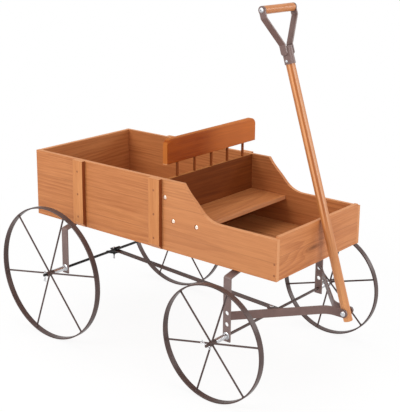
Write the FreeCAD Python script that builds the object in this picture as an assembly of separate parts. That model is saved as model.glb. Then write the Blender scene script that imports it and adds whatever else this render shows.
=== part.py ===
"""Flower cart stand: a wooden buckboard bed on a painted steel frame with four spoked wheels
and a pull handle that leans back against the front of the bed.

Frame: +X forward, towards the pull handle. +Y to the cart's left, +Z up.
The origin lies on the ground, under the middle of the cart's overall length and width.
All lengths are in millimetres. "Right" is the -Y side and "left" is the +Y side.
"""
import FreeCAD
import Part
import math
import os

V = FreeCAD.Vector
X_AXIS = V(1, 0, 0)
Y_AXIS = V(0, 1, 0)
Z_AXIS = V(0, 0, 1)
RIGHT = -1
LEFT = 1

# Wheels: 8 inch at the front and 10 inch at the rear, each a flat strip rolled into a ring
front_wheel_radius = 101.6
rear_wheel_radius = 127.0
wheelbase = 387.4
rim_width = 11.0
rim_thickness = 2.5
rim_edge_round = 0.5
spoke_count = 6
spoke_radius = 1.6
hub_radius = 4.2
hub_length = 16.0
hub_chamfer = 0.6
# Angle from +X towards +Z of each wheel's first spoke, as the wheels stand
spoke_phase = {
    ("front", RIGHT): 12.0,
    ("front", LEFT): 16.5,
    ("rear", RIGHT): 10.5,
    ("rear", LEFT): 7.6,
}

# Axles, a plain rod each, and what holds the wheels on them
axle_radius = 2.5
running_clearance = 0.08
axle_overhang = 7.5
axle_end_chamfer = 0.6
pin_radius = 0.8
pin_inset = 3.7
pin_clearance = 0.15
pin_loop_radius = 2.2
pin_leg_length = 10.0
pin_splay_angle = 15.0
# How far each pin is turned about the axle from hanging straight down
pin_turn = {
    ("front", RIGHT): 110.0,
    ("front", LEFT): 35.0,
    ("rear", RIGHT): 4.0,
    ("rear", LEFT): -20.0,
}
spacer_radius = 4.5
spacer_length = 24.5
spacer_end_gap = 0.5
nut_across_flats = 9.0
nut_height = 4.5
nut_flange_radius = 6.5
nut_flange_height = 1.5

# Wooden bed, made of thin boards
board = 8.0
bed_length = 562.0
bed_half_width = 127.5
bed_bottom = 214.0
side_top = 340.5
side_low_top = 284.3
front_panel_top = 288.0
edge_round = 1.2
floor_gap = 2.5
floor_board_count = 3
# Shape of the side's top edge, as (x from the middle of the bed, z)
slope_top_x = 86.5
slope_upper_mid = (98.0, 326.6)
slope_upper_end = (112.0, 313.5)
slope_lower_start = (126.0, 299.5)
slope_lower_mid = (142.8, 288.3)
slope_lower_end_x = 163.0

# Battens outside each side, bevelled at the foot
batten_width = 25.4
batten_rear_x = -161.0
batten_middle_x = 26.8
batten_bevel = 8.0

# Backrest over the divider, and the seat board in front of it
divider_x = 44.5
rail_half_length = 125.5
rail_bottom = 366.5
rail_top = 410.0
rail_thickness = 12.0
rail_corner_radius = 12.0
rail_edge_round = 2.5
spindle_radius = 2.5
spindle_pitch = 46.5
spindle_count = 5
spindle_socket = 8.0
housing_depth = 2.0
seat_middle_z = 270.0
seat_width = 78.0

# Fasteners in the wood
screw_points = ((45.5, 309.0), (64.5, 270.0), (115.9, 270.0))
screw_head_radius = 3.7
screw_head_height = 1.4
screw_recess_radius = 4.2
screw_recess_depth = 1.8
screw_shank_radius = 1.5
screw_length = 26.0
batten_nail_heights = (234.0, 277.0, 320.0)
corner_nail_heights = (224.0, 243.0)
nail_head_radius = 1.9
nail_head_height = 0.6
nail_shank_radius = 0.9
nail_length = 14.0
fastener_clearance = 0.05

# Steel brackets, a flat strap bent over each axle
strap_width = 15.0
strap_thickness = 2.5
leg_splay = 13.5
leg_bend_drop = 9.0
flat_inset = 30.0
leg_below_axle = 10.5
strap_outer_bend = 4.0
strap_inner_bend = 1.6
spare_hole_radius = 4.0
spare_hole_heights = (20.0, 40.0)
bracket_screw_y = 70.0
bracket_screw_radius = 2.0
bracket_screw_head_radius = 4.0
bracket_screw_head_height = 2.2
bracket_screw_depth = 7.0

# Fork from the front bracket to the handle's pivot
fork_height = 14.5
fork_thickness = 2.5
fork_side_gap = 0.45
fork_tab_rear = 29.0
fork_bend_radius = 30.0
fork_past_leg = 10.0
pivot_height = 138.0
pivot_radius = 3.0
pivot_head_radius = 4.8
pivot_head_height = 2.8
pivot_nut_across_flats = 10.0
pivot_nut_height = 4.5
pivot_thread_end = 2.0

# Reach bar between the axles, its two hooked clips and their screws
reach_width = 12.0
reach_thickness = 2.0
reach_seat = 0.1
reach_rear_overhang = 15.0
reach_front_overhang = 5.5
reach_end_round = 4.8
clip_thickness = 2.0
clip_tail = 14.0
clip_screw_x = 8.6
clip_screw_radius = 2.0
clip_nut_across_flats = 7.0
clip_nut_height = 3.2
clip_thread_end = 1.0
clip_head_radius = 4.0
clip_head_height = 2.8
wing_bolt_head_radius = 3.4
wing_bolt_head_height = 2.4
wing_bolt_end = 103.5
wing_boss_radius = 3.8
wing_boss_height = 9.0
wing_half_span = 17.0
wing_thickness = 3.0
wing_root_height = 7.5
wing_tip_height = 5.2
wing_drop = 0.8
wing_corner_round = 2.4
wing_turn = 47.0

# Pull handle, laid out along its own axis: the grip's height is above the pivot, and each drop
# is below the grip
handle_lean = 17.6
handle_rest_gap = 0.3
grip_height = 516.0
pole_radius = 7.75
pole_below_pivot = 15.6
pole_end_round = 1.2
sleeve_drop = 63.0
sleeve_length = 30.0
sleeve_wall = 1.4
sleeve_fit = 0.1
pole_top_inset = 6.0
yoke_tab_drop = 78.0
yoke_bend_drop = 60.0
yoke_eye_drop = 13.0
yoke_thickness = 2.5
yoke_width = 12.0
yoke_tab_round = 4.8
grip_radius = 7.0
grip_half_length = 42.5
grip_end_gap = 0.1
grip_end_round = 1.0
eye_radius = 7.0
grip_screw_radius = 2.0
grip_screw_head_radius = 4.4
grip_screw_head_height = 2.4
grip_screw_length = 24.0
sleeve_screw_lift = 5.0
sleeve_screw_head_radius = 2.4
sleeve_screw_head_height = 1.4
sleeve_screw_radius = 1.2
sleeve_screw_length = 7.0

# How far a cutting shape runs past what it cuts, and how closely edges are matched to a place
cut_margin = 1.0
tolerance = 0.01

# Derived positions
lean = math.radians(handle_lean)
front_face_x = bed_length / 2
rest_distance = pole_radius + handle_rest_gap
rest_reach = rest_distance + (front_panel_top - pivot_height) * math.sin(lean)
pivot_x = front_face_x + rest_reach / math.cos(lean)
pole_foot_x = pivot_x + pole_below_pivot * math.sin(lean) + pole_radius * math.cos(lean)
wheel_back_x = -wheelbase / 2 - rear_wheel_radius
middle_x = -(pole_foot_x + wheel_back_x) / 2
front_axle_x = middle_x + wheelbase / 2
rear_axle_x = middle_x - wheelbase / 2
pivot = V(middle_x + pivot_x, 0, pivot_height)
leg_outer_y = bed_half_width + leg_splay
leg_inner_y = leg_outer_y - strap_thickness
spacer_inner_y = leg_outer_y + nut_flange_height + nut_height
spacer_outer_y = spacer_inner_y + spacer_length
hub_inner_y = spacer_outer_y + spacer_end_gap
wheel_track_half = hub_inner_y + hub_length / 2
axle_end_y = hub_inner_y + hub_length + axle_overhang
inner_half_width = bed_half_width - board
fork_outer_y = pole_radius + fork_side_gap + fork_thickness
sleeve_end = grip_height - sleeve_drop
sleeve_start = sleeve_end - sleeve_length
sleeve_screw_height = sleeve_start + sleeve_screw_lift
yoke_tab_start = grip_height - yoke_tab_drop
bore_radius = axle_radius + running_clearance
# The reach bar crosses from under the rear axle to over the front one, touching neither
axle_step = front_wheel_radius - rear_wheel_radius
axle_spread = math.hypot(wheelbase, axle_step)
reach_cross = 2 * (axle_radius + reach_seat) + reach_thickness
reach_slope = math.atan2(axle_step, wheelbase) + math.asin(reach_cross / axle_spread)
reach_between = math.sqrt(axle_spread ** 2 - reach_cross ** 2)


def box(low, high):
    """A box between two corners given as (x, y, z)."""
    size = [h - l for l, h in zip(low, high)]
    return Part.makeBox(size[0], size[1], size[2], V(*low))


def rod(radius, start, end):
    """A round rod between two points."""
    along = end - start
    return Part.makeCylinder(radius, along.Length, start, along)


def cross_rod(radius, x, z, y0, y1):
    """A round rod along Y at the given x and z."""
    return rod(radius, V(x, y0, z), V(x, y1, z))


def upright_rod(radius, x, y, z0, z1):
    """A round rod along Z at the given x and y."""
    return rod(radius, V(x, y, z0), V(x, y, z1))


def domed_head(radius, height, base, outward):
    """A round screw head: a slice of a sphere standing on the base point."""
    ball_radius = (radius * radius + height * height) / (2 * height)
    centre = base - outward * (ball_radius - height)
    ball = Part.makeSphere(ball_radius, centre)
    return ball.common(Part.makeCylinder(ball_radius, height + cut_margin, base, outward))


def hexagon(across_flats, height, base, outward):
    """A hexagonal prism standing on the base point."""
    side = across_flats / math.sqrt(3)
    angles = [math.radians(60 * k + 30) for k in range(7)]
    corners = [V(side * math.cos(angle), side * math.sin(angle), 0) for angle in angles]
    prism = Part.Face(Part.makePolygon(corners)).extrude(V(0, 0, height))
    prism.Placement = FreeCAD.Placement(base, FreeCAD.Rotation(Z_AXIS, outward))
    return prism


def round_edges(shape, radius, wanted):
    """Fillet the edges that the wanted function picks."""
    edges = [edge for edge in shape.Edges if wanted(edge)]
    return shape.makeFillet(radius, edges)


def runs_along(edge, axis):
    """True for a straight edge parallel to the axis."""
    if len(edge.Vertexes) != 2 or edge.Curve.TypeId != "Part::GeomLine":
        return False
    along = edge.Vertexes[1].Point - edge.Vertexes[0].Point
    return along.cross(axis).Length < tolerance


def rounded_board(low, high, axis):
    """A board whose four long edges, along the axis, are slightly rounded."""
    return round_edges(box(low, high), edge_round, lambda edge: runs_along(edge, axis))


def offset_path(points, distance):
    """The points of a path moved sideways by the distance, keeping its corners mitred."""
    normals = []
    for start, end in zip(points, points[1:]):
        length = math.hypot(end[0] - start[0], end[1] - start[1])
        normals.append(((start[1] - end[1]) / length, (end[0] - start[0]) / length))
    moved = []
    for index, point in enumerate(points):
        before = normals[max(index - 1, 0)]
        after = normals[min(index, len(normals) - 1)]
        scale = distance / (1 + before[0] * after[0] + before[1] * after[1])
        moved.append((point[0] + (before[0] + after[0]) * scale,
                      point[1] + (before[1] + after[1]) * scale))
    return moved


def strap_outline(points, thickness):
    """The closed outline of a bent strap whose outer face follows the points."""
    return points + offset_path(points, thickness)[::-1]


def prism_along_x(outline, x0, x1):
    """Extrude an outline of (y, z) points along X."""
    corners = [V(x0, y, z) for y, z in outline + outline[:1]]
    return Part.Face(Part.makePolygon(corners)).extrude(V(x1 - x0, 0, 0))


def prism_along_z(outline, z0, z1):
    """Extrude an outline of (x, y) points along Z."""
    corners = [V(x, y, z0) for x, y in outline + outline[:1]]
    return Part.Face(Part.makePolygon(corners)).extrude(V(0, 0, z1 - z0))


def axle_place(end):
    """X and Z of the front or rear axle."""
    if end == "front":
        return front_axle_x, front_wheel_radius
    return rear_axle_x, rear_wheel_radius


# Wheels

def wheel_rim(end, side):
    x, radius = axle_place(end)
    y0 = side * wheel_track_half - rim_width / 2
    y1 = y0 + rim_width
    ring = cross_rod(radius, x, radius, y0, y1)
    ring = ring.cut(cross_rod(radius - rim_thickness, x, radius, y0, y1))
    return round_edges(ring, rim_edge_round, lambda edge: edge.Curve.TypeId == "Part::GeomCircle")


def wheel_hub(end, side):
    x, radius = axle_place(end)
    y0 = side * wheel_track_half - hub_length / 2
    y1 = y0 + hub_length
    tube = cross_rod(hub_radius, x, radius, y0, y1)
    ends = [edge for edge in tube.Edges if edge.Curve.TypeId == "Part::GeomCircle"]
    tube = tube.makeChamfer(hub_chamfer, ends)
    return tube.cut(cross_rod(bore_radius, x, radius, y0, y1))


def wheel_spokes(end, side):
    x, radius = axle_place(end)
    y = side * wheel_track_half
    centre = V(x, y, radius)
    inside = cross_rod(radius - rim_thickness, x, radius, y - rim_width / 2, y + rim_width / 2)
    inside = inside.cut(cross_rod(hub_radius, x, radius, y - rim_width, y + rim_width))
    spokes = []
    for index in range(spoke_count):
        angle = math.radians(spoke_phase[(end, side)] + index * 360.0 / spoke_count)
        tip = centre + V(math.cos(angle), 0, math.sin(angle)) * radius
        spokes.append(rod(spoke_radius, centre, tip).common(inside))
    return Part.makeCompound([spoke.Solids[0] for spoke in spokes])


# Axles

def axle(end):
    x, z = axle_place(end)
    bar = cross_rod(axle_radius, x, z, -axle_end_y, axle_end_y)
    ends = [edge for edge in bar.Edges if edge.Curve.TypeId == "Part::GeomCircle"]
    bar = bar.makeChamfer(axle_end_chamfer, ends)
    for side in (RIGHT, LEFT):
        y = side * (axle_end_y - pin_inset)
        hole = upright_rod(pin_radius + pin_clearance, x, y, z - hub_radius, z + hub_radius)
        bar = bar.cut(turned_on_axle(hole, end, side))
    return bar


def turned_on_axle(shape, end, side):
    """Turn a pin or its hole about the axle by that pin's angle."""
    x, z = axle_place(end)
    turned = shape.copy()
    turned.rotate(V(x, 0, z), Y_AXIS, pin_turn[(end, side)])
    return turned


def split_pin(end, side):
    """A split pin through the axle: a loop above it and two legs splayed below it."""
    x, z = axle_place(end)
    y = side * (axle_end_y - pin_inset)
    loop_z = z + axle_radius + pin_loop_radius + pin_radius
    foot_z = z - axle_radius - pin_radius
    loop = Part.makeTorus(pin_loop_radius, pin_radius, V(x, y, loop_z), Y_AXIS)
    shaft = upright_rod(pin_radius, x, y, foot_z, loop_z - pin_loop_radius)
    pin = loop.fuse(shaft)
    splay = math.radians(pin_splay_angle)
    for direction in (-1, 1):
        foot = V(x, y, foot_z)
        tip = foot + V(direction * math.sin(splay), 0, -math.cos(splay)) * pin_leg_length
        pin = pin.fuse(rod(pin_radius, foot, tip))
    return turned_on_axle(pin.removeSplitter(), end, side)


def axle_spacer(end, side):
    x, z = axle_place(end)
    y0 = side * spacer_inner_y
    y1 = side * spacer_outer_y
    return cross_rod(spacer_radius, x, z, y0, y1).cut(cross_rod(bore_radius, x, z, y0, y1))


def axle_nut(end, side):
    x, z = axle_place(end)
    face = V(x, side * leg_outer_y, z)
    outward = V(0, side, 0)
    flange = Part.makeCylinder(nut_flange_radius, nut_flange_height, face, outward)
    body = hexagon(nut_across_flats, nut_height, face + outward * nut_flange_height, outward)
    nut = flange.fuse(body)
    bore = Part.makeCylinder(bore_radius, nut_flange_height + nut_height, face, outward)
    return nut.cut(bore).removeSplitter()


def on_every_axle_end(make):
    """The four copies of a small piece, one at each end of both axles."""
    return Part.makeCompound([make(end, side) for end in ("front", "rear") for side in (RIGHT, LEFT)])


# Bed

def side_profile():
    """The side board's outline: high behind the seat, swept down to the low front."""
    def at(x, z):
        return V(middle_x + x, 0, z)
    half = bed_length / 2
    corner = [at(-half, bed_bottom), at(-half, side_top), at(slope_top_x, side_top)]
    upper = Part.Arc(corner[2], at(*slope_upper_mid), at(*slope_upper_end)).toShape()
    middle = Part.makeLine(at(*slope_upper_end), at(*slope_lower_start))
    flat_start = at(slope_lower_end_x, side_low_top)
    lower = Part.Arc(at(*slope_lower_start), at(*slope_lower_mid), flat_start).toShape()
    low_end = at(half, side_low_top)
    foot_end = at(half, bed_bottom)
    edges = [Part.makeLine(corner[0], corner[1]), Part.makeLine(corner[1], corner[2]),
             upper, middle, lower, Part.makeLine(flat_start, low_end),
             Part.makeLine(low_end, foot_end), Part.makeLine(foot_end, corner[0])]
    return Part.Face(Part.Wire(edges))


def side_panel(side):
    panel = side_profile().extrude(V(0, board, 0))
    low_y = side * bed_half_width - (board if side == LEFT else 0)
    panel.translate(V(0, low_y, 0))
    outer_y = side * bed_half_width

    def on_outer_rim(edge):
        return all(abs(vertex.Y - outer_y) < tolerance for vertex in edge.Vertexes)
    panel = round_edges(panel, edge_round, on_outer_rim)
    for x, z in screw_points:
        start = V(middle_x + x, outer_y, z)
        inward = V(0, -side, 0)
        panel = panel.cut(Part.makeCylinder(screw_recess_radius, screw_recess_depth, start, inward))
        panel = panel.cut(Part.makeCylinder(screw_shank_radius + fastener_clearance, board, start, inward))
    for hole in nail_holes(side):
        panel = panel.cut(hole)
    return panel


def nail_places(side):
    """Where each nail's head sits: (point on the wood's face, depth of wood it passes)."""
    places = []
    for x in (batten_rear_x, batten_middle_x):
        for z in batten_nail_heights:
            places.append(V(middle_x + x, side * (bed_half_width + board), z))
    for z in corner_nail_heights:
        places.append(V(middle_x + bed_length / 2 - board / 2, side * bed_half_width, z))
    return places


def nail(place, side, grow=0.0):
    inward = V(0, -side, 0)
    shank = Part.makeCylinder(nail_shank_radius + grow, nail_length, place, inward)
    head = Part.makeCylinder(nail_head_radius + grow, nail_head_height, place, inward)
    return head.fuse(shank)


def nail_holes(side):
    return [nail(place, side, fastener_clearance) for place in nail_places(side)]


def nails(places_of):
    """All the nails of both sides in the given order of places."""
    pieces = []
    for side in (RIGHT, LEFT):
        for place in places_of(side):
            pieces.append(nail(place, side).removeSplitter())
    return Part.makeCompound(pieces)


def batten(x, side):
    inner = side * bed_half_width
    outer = side * (bed_half_width + board)
    outline = [(inner, bed_bottom), (outer, bed_bottom + batten_bevel),
               (outer, side_top), (inner, side_top)]
    x0 = middle_x + x - batten_width / 2
    piece = prism_along_x(outline, x0, x0 + batten_width)

    def on_face(edge):
        return runs_along(edge, Z_AXIS) and abs(edge.Vertexes[0].Y - outer) < tolerance
    piece = round_edges(piece, edge_round, on_face)
    for hole in nail_holes(side):
        piece = piece.cut(hole)
    return piece


def front_panel():
    x1 = middle_x + bed_length / 2
    low = (x1 - board, -inner_half_width, bed_bottom)
    high = (x1, inner_half_width, front_panel_top)
    panel = rounded_board(low, high, Y_AXIS)
    for side in (RIGHT, LEFT):
        for hole in nail_holes(side):
            panel = panel.cut(hole)
    return panel


def rear_panel():
    x0 = middle_x - bed_length / 2
    low = (x0, -inner_half_width, bed_bottom)
    high = (x0 + board, inner_half_width, side_top)
    return rounded_board(low, high, Y_AXIS)


def floor_board(index):
    """One of the floor's lengthwise boards, with narrow drain gaps between them."""
    gaps = floor_board_count - 1
    width = (2 * inner_half_width - gaps * floor_gap) / floor_board_count
    y0 = -inner_half_width + index * (width + floor_gap)
    x0 = middle_x - bed_length / 2 + board
    x1 = middle_x + bed_length / 2 - board
    plank = box((x0, y0, bed_bottom), (x1, y0 + width, bed_bottom + board))
    for x, y in bracket_screw_places():
        pilot = bracket_screw_radius + fastener_clearance
        plank = plank.cut(upright_rod(pilot, x, y, bed_bottom, bed_bottom + bracket_screw_depth))
    return plank.cut(divider_blank())


def wood_screw(point, side):
    """A round-headed screw in its recess on the side's outer face."""
    x, z = point
    floor = V(middle_x + x, side * (bed_half_width - screw_recess_depth), z)
    inward = V(0, -side, 0)
    head = domed_head(screw_head_radius, screw_head_height, floor, V(0, side, 0))
    shank = Part.makeCylinder(screw_shank_radius, screw_length - screw_recess_depth, floor, inward)
    return head.fuse(shank).removeSplitter()


def wood_screw_bore(point, side):
    x, z = point
    start = V(middle_x + x, side * bed_half_width, z)
    return Part.makeCylinder(screw_shank_radius + fastener_clearance, screw_length, start, V(0, -side, 0))


def drilled_for_screws(shape):
    for side in (RIGHT, LEFT):
        for point in screw_points:
            shape = shape.cut(wood_screw_bore(point, side))
    return shape


def divider_blank():
    """The divider as a plain board, its foot let into a shallow groove across the floor."""
    x0 = middle_x + divider_x - board / 2
    z0 = bed_bottom + board - housing_depth
    return box((x0, -inner_half_width, z0), (x0 + board, inner_half_width, side_top))


def divider_panel():
    def on_top(edge):
        return runs_along(edge, Y_AXIS) and abs(edge.Vertexes[0].Z - side_top) < tolerance
    panel = drilled_for_screws(round_edges(divider_blank(), edge_round, on_top))
    return drilled_for_spindles(panel)


def drilled_for_spindles(shape):
    for index in range(spindle_count):
        shape = shape.cut(spindle_rod(index, spindle_radius + fastener_clearance))
    return shape


def seat_board():
    x0 = middle_x + divider_x + board / 2
    low = (x0, -inner_half_width, seat_middle_z - board / 2)
    high = (x0 + seat_width, inner_half_width, seat_middle_z + board / 2)

    def on_front(edge):
        return runs_along(edge, Y_AXIS) and edge.Vertexes[0].X > x0 + seat_width / 2
    return drilled_for_screws(round_edges(box(low, high), edge_round, on_front))


def backrest_rail():
    x0 = middle_x + divider_x - rail_thickness / 2
    rail = box((x0, -rail_half_length, rail_bottom), (x0 + rail_thickness, rail_half_length, rail_top))

    def on_top_corner(edge):
        return runs_along(edge, X_AXIS) and abs(edge.Vertexes[0].Z - rail_top) < tolerance
    rail = round_edges(rail, rail_corner_radius, on_top_corner)

    def on_face_rim(edge):
        xs = [vertex.X for vertex in edge.Vertexes]
        return max(xs) - min(xs) < tolerance
    return drilled_for_spindles(round_edges(rail, rail_edge_round, on_face_rim))


def spindle_rod(index, radius):
    """A thin upright rod from inside the divider's top edge to inside the rail's underside."""
    y = (index - (spindle_count - 1) / 2) * spindle_pitch
    x = middle_x + divider_x
    return upright_rod(radius, x, y, side_top - spindle_socket, rail_bottom + spindle_socket)


# Frame under the bed

def bracket_screw_places():
    return [(x, side * bracket_screw_y) for x in (front_axle_x, rear_axle_x) for side in (RIGHT, LEFT)]


def bracket(end):
    """A flat strap bent down over both ends of an axle and screwed flat under the floor."""
    x, z = axle_place(end)
    foot = z - leg_below_axle
    bend_z = bed_bottom - leg_bend_drop
    flat_y = bed_half_width - flat_inset
    path = [(-leg_outer_y, foot), (-leg_outer_y, bend_z), (-flat_y, bed_bottom),
            (flat_y, bed_bottom), (leg_outer_y, bend_z), (leg_outer_y, foot)]
    outline = strap_outline(path, -strap_thickness)
    strap = prism_along_x(outline, x - strap_width / 2, x + strap_width / 2)
    inner_bends = [offset_path(path, -strap_thickness)[k] for k in (1, 2, 3, 4)]

    def at_points(edge, points):
        if not runs_along(edge, X_AXIS):
            return False
        here = edge.Vertexes[0].Point
        return any(math.hypot(here.y - y, here.z - z) < tolerance for y, z in points)
    strap = round_edges(strap, strap_outer_bend, lambda edge: at_points(edge, path[1:5]))
    strap = round_edges(strap, strap_inner_bend, lambda edge: at_points(edge, inner_bends))
    past_leg = leg_outer_y + cut_margin
    strap = strap.cut(cross_rod(bore_radius, x, z, -past_leg, past_leg))
    if end == "front":
        for height in spare_hole_heights:
            strap = strap.cut(cross_rod(spare_hole_radius, x, z + height, -past_leg, past_leg))
    for screw_x, screw_y in bracket_screw_places():
        hole = upright_rod(bracket_screw_radius + fastener_clearance, screw_x, screw_y,
                           bed_bottom - strap_thickness, bed_bottom)
        strap = strap.cut(hole)
    return strap


def bracket_screws():
    screws = []
    for x, y in bracket_screw_places():
        under = V(x, y, bed_bottom - strap_thickness)
        head = domed_head(bracket_screw_head_radius, bracket_screw_head_height, under, -Z_AXIS)
        shank = Part.makeCylinder(bracket_screw_radius, strap_thickness + bracket_screw_depth, under, Z_AXIS)
        screws.append(head.fuse(shank).removeSplitter())
    return Part.makeCompound(screws)


def fork_strap(side):
    """One side of the fork: from the bracket's leg inwards to a tab beside the pole."""
    tab_end = pivot.x + fork_height
    bend_x = pivot.x - fork_tab_rear
    leg_x = front_axle_x + strap_width / 2
    slope_x = (leg_x - bend_x) / (leg_inner_y - fork_outer_y)
    path = [(tab_end, fork_outer_y), (bend_x, fork_outer_y),
            (leg_x + slope_x * fork_past_leg, leg_inner_y + fork_past_leg)]
    outline = [(x, side * y) for x, y in strap_outline(path, fork_thickness)]
    z0 = pivot.z - fork_height / 2
    z1 = z0 + fork_height
    strap = prism_along_z(outline, z0, z1)

    def at_point(edge, point):
        here = edge.Vertexes[0].Point
        return runs_along(edge, Z_AXIS) and math.hypot(here.x - point[0], here.y - point[1]) < tolerance
    strap = round_edges(strap, fork_bend_radius, lambda edge: at_point(edge, outline[4]))
    strap = round_edges(strap, fork_bend_radius - fork_thickness, lambda edge: at_point(edge, outline[1]))
    keep = box((front_axle_x, -leg_inner_y, z0), (pivot.x, leg_inner_y, z1))
    keep = keep.fuse(cross_rod(fork_height / 2, pivot.x, pivot.z, -leg_inner_y, leg_inner_y))
    strap = strap.common(keep).removeSplitter()
    hole_radius = pivot_radius + running_clearance
    return strap.cut(cross_rod(hole_radius, pivot.x, pivot.z, -leg_inner_y, leg_inner_y))


def pivot_bolt():
    """The pole's pivot bolt: a domed head on the right, its thread through the nut on the left."""
    end_y = fork_outer_y + pivot_nut_height + pivot_thread_end
    shank = cross_rod(pivot_radius, pivot.x, pivot.z, -fork_outer_y, end_y)
    face = V(pivot.x, -fork_outer_y, pivot.z)
    head = domed_head(pivot_head_radius, pivot_head_height, face, -Y_AXIS)
    return head.fuse(shank).removeSplitter()


def pivot_nut():
    face = V(pivot.x, fork_outer_y, pivot.z)
    nut = hexagon(pivot_nut_across_flats, pivot_nut_height, face, Y_AXIS)
    return nut.cut(Part.makeCylinder(pivot_radius + fastener_clearance, pivot_nut_height, face, Y_AXIS))


# Reach bar and its clips

def in_reach_frame(shape, x, z):
    """Move a shape from the clip's own frame, the axle at its origin, onto an axle."""
    placed = shape.copy()
    frame = FreeCAD.Placement(V(x, 0, z), FreeCAD.Rotation(Y_AXIS, -math.degrees(reach_slope)))
    placed.Placement = frame.multiply(shape.Placement)
    return placed


def clip_hole(reach):
    """The screw's hole beside the axle, in the clip's own frame."""
    return upright_rod(clip_screw_radius + fastener_clearance, -clip_screw_x, 0, -reach, reach)


def axle_clip(up):
    """A hooked clip: a flat tail against the bar and a hook round the far side of the axle.

    The bar lies above the axle where up is 1 and below it where up is -1.
    """
    hook_inner = axle_radius + reach_seat
    hook_outer = hook_inner + clip_thickness
    half = reach_width / 2
    ring = cross_rod(hook_outer, 0, 0, -half, half)
    ring = ring.cut(box((0, -half, 0), (hook_outer, half, hook_outer)))
    ring = ring.cut(box((-hook_outer, -half, hook_inner), (0, half, hook_outer)))
    tail = box((-clip_tail, -half, hook_inner - clip_thickness), (-hook_inner, half, hook_inner))
    clip = ring.fuse(tail).removeSplitter()
    clip = clip.cut(cross_rod(hook_inner, 0, 0, -half, half))
    clip = clip.cut(clip_hole(clip_tail))
    if up == -1:
        clip.rotate(V(0, 0, 0), X_AXIS, 180)
    return clip


def reach_bar():
    """A straight flat bar under the rear axle and over the front one."""
    half = reach_width / 2
    z0 = axle_radius + reach_seat
    x0 = -reach_between - reach_rear_overhang
    bar = box((x0, -half, z0), (reach_front_overhang, half, z0 + reach_thickness))
    bar = round_edges(bar, reach_end_round, lambda edge: runs_along(edge, Z_AXIS))
    bar = bar.cut(clip_hole(clip_tail))
    rear_hole = clip_hole(clip_tail)
    rear_hole.translate(V(-reach_between, 0, 0))
    bar = bar.cut(rear_hole)
    return in_reach_frame(bar, front_axle_x, front_wheel_radius)


def front_clip():
    return in_reach_frame(axle_clip(1), front_axle_x, front_wheel_radius)


def rear_clip():
    return in_reach_frame(axle_clip(-1), rear_axle_x, rear_wheel_radius)


def front_clip_bolt():
    """A domed bolt through the bar and the front clip, with its nut below."""
    top = V(-clip_screw_x, 0, axle_radius + reach_seat + reach_thickness)
    under = V(-clip_screw_x, 0, axle_radius + reach_seat - clip_thickness)
    head = domed_head(clip_head_radius, clip_head_height, top, Z_AXIS)
    shank = rod(clip_screw_radius, under - Z_AXIS * (clip_nut_height + clip_thread_end), top)
    bolt = head.fuse(shank).removeSplitter()
    return in_reach_frame(bolt, front_axle_x, front_wheel_radius)


def front_clip_nut():
    under = V(-clip_screw_x, 0, axle_radius + reach_seat - clip_thickness)
    nut = hexagon(clip_nut_across_flats, clip_nut_height, under, -Z_AXIS)
    nut = nut.cut(clip_hole(clip_tail))
    return in_reach_frame(nut, front_axle_x, front_wheel_radius)


def wing_bolt():
    """A domed bolt down through the rear clip and the bar, its end bare below the wing nut."""
    seat = V(-clip_screw_x, 0, clip_thickness - axle_radius - reach_seat)
    head = domed_head(wing_bolt_head_radius, wing_bolt_head_height, seat, Z_AXIS)
    foot = V(-clip_screw_x, 0, wing_bolt_end - rear_wheel_radius)
    bolt = head.fuse(rod(clip_screw_radius, foot, seat)).removeSplitter()
    return in_reach_frame(bolt, rear_axle_x, rear_wheel_radius)


def wing_nut():
    """A nut with two wings under the bar's rear end."""
    seat = -(axle_radius + reach_seat + reach_thickness)
    boss = upright_rod(wing_boss_radius, 0, 0, seat - wing_boss_height, seat)
    top = seat - wing_drop
    root = top - wing_root_height
    tip = top - wing_tip_height
    outline = [(-wing_half_span, top), (-wing_half_span, tip), (-wing_boss_radius, root),
               (wing_boss_radius, root), (wing_half_span, tip), (wing_half_span, top)]
    corners = [V(x, -wing_thickness / 2, z) for x, z in outline + outline[:1]]
    wings = Part.Face(Part.makePolygon(corners)).extrude(V(0, wing_thickness, 0))
    wings = round_edges(wings, wing_corner_round, lambda edge: runs_along(edge, Y_AXIS)
                        and abs(edge.Vertexes[0].X) > wing_half_span - tolerance)
    nut = boss.fuse(wings)
    nut.rotate(V(0, 0, 0), Z_AXIS, wing_turn)
    nut.translate(V(-clip_screw_x, 0, 0))
    nut = nut.cut(clip_hole(wing_bolt_end)).removeSplitter()
    return in_reach_frame(nut, rear_axle_x, rear_wheel_radius)


# Pull handle, built upright on its pivot and then leaned back

def leaned(shape):
    placed = shape.copy()
    frame = FreeCAD.Placement(pivot, FreeCAD.Rotation(Y_AXIS, -handle_lean))
    placed.Placement = frame.multiply(shape.Placement)
    return placed


def pole():
    top = sleeve_end - pole_top_inset
    shaft = upright_rod(pole_radius, 0, 0, -pole_below_pivot, top)
    foot = [edge for edge in shaft.Edges
            if edge.Curve.TypeId == "Part::GeomCircle" and edge.Vertexes[0].Z < 0]
    shaft = shaft.makeFillet(pole_end_round, foot)
    shaft = shaft.cut(cross_rod(pivot_radius + running_clearance, 0, 0, -pole_radius, pole_radius))
    return leaned(shaft.cut(sleeve_screw_bore()))


def sleeve_screw_bore():
    radius = sleeve_screw_radius + fastener_clearance
    outer = pole_radius + sleeve_fit + sleeve_wall
    return cross_rod(radius, 0, sleeve_screw_height, -outer, -outer + sleeve_screw_length)


def handle_sleeve():
    inner = pole_radius + sleeve_fit
    tube = upright_rod(inner + sleeve_wall, 0, 0, sleeve_start, sleeve_end)
    tube = tube.cut(upright_rod(inner, 0, 0, sleeve_start, sleeve_end))
    return leaned(tube.cut(sleeve_screw_bore()))


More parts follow.
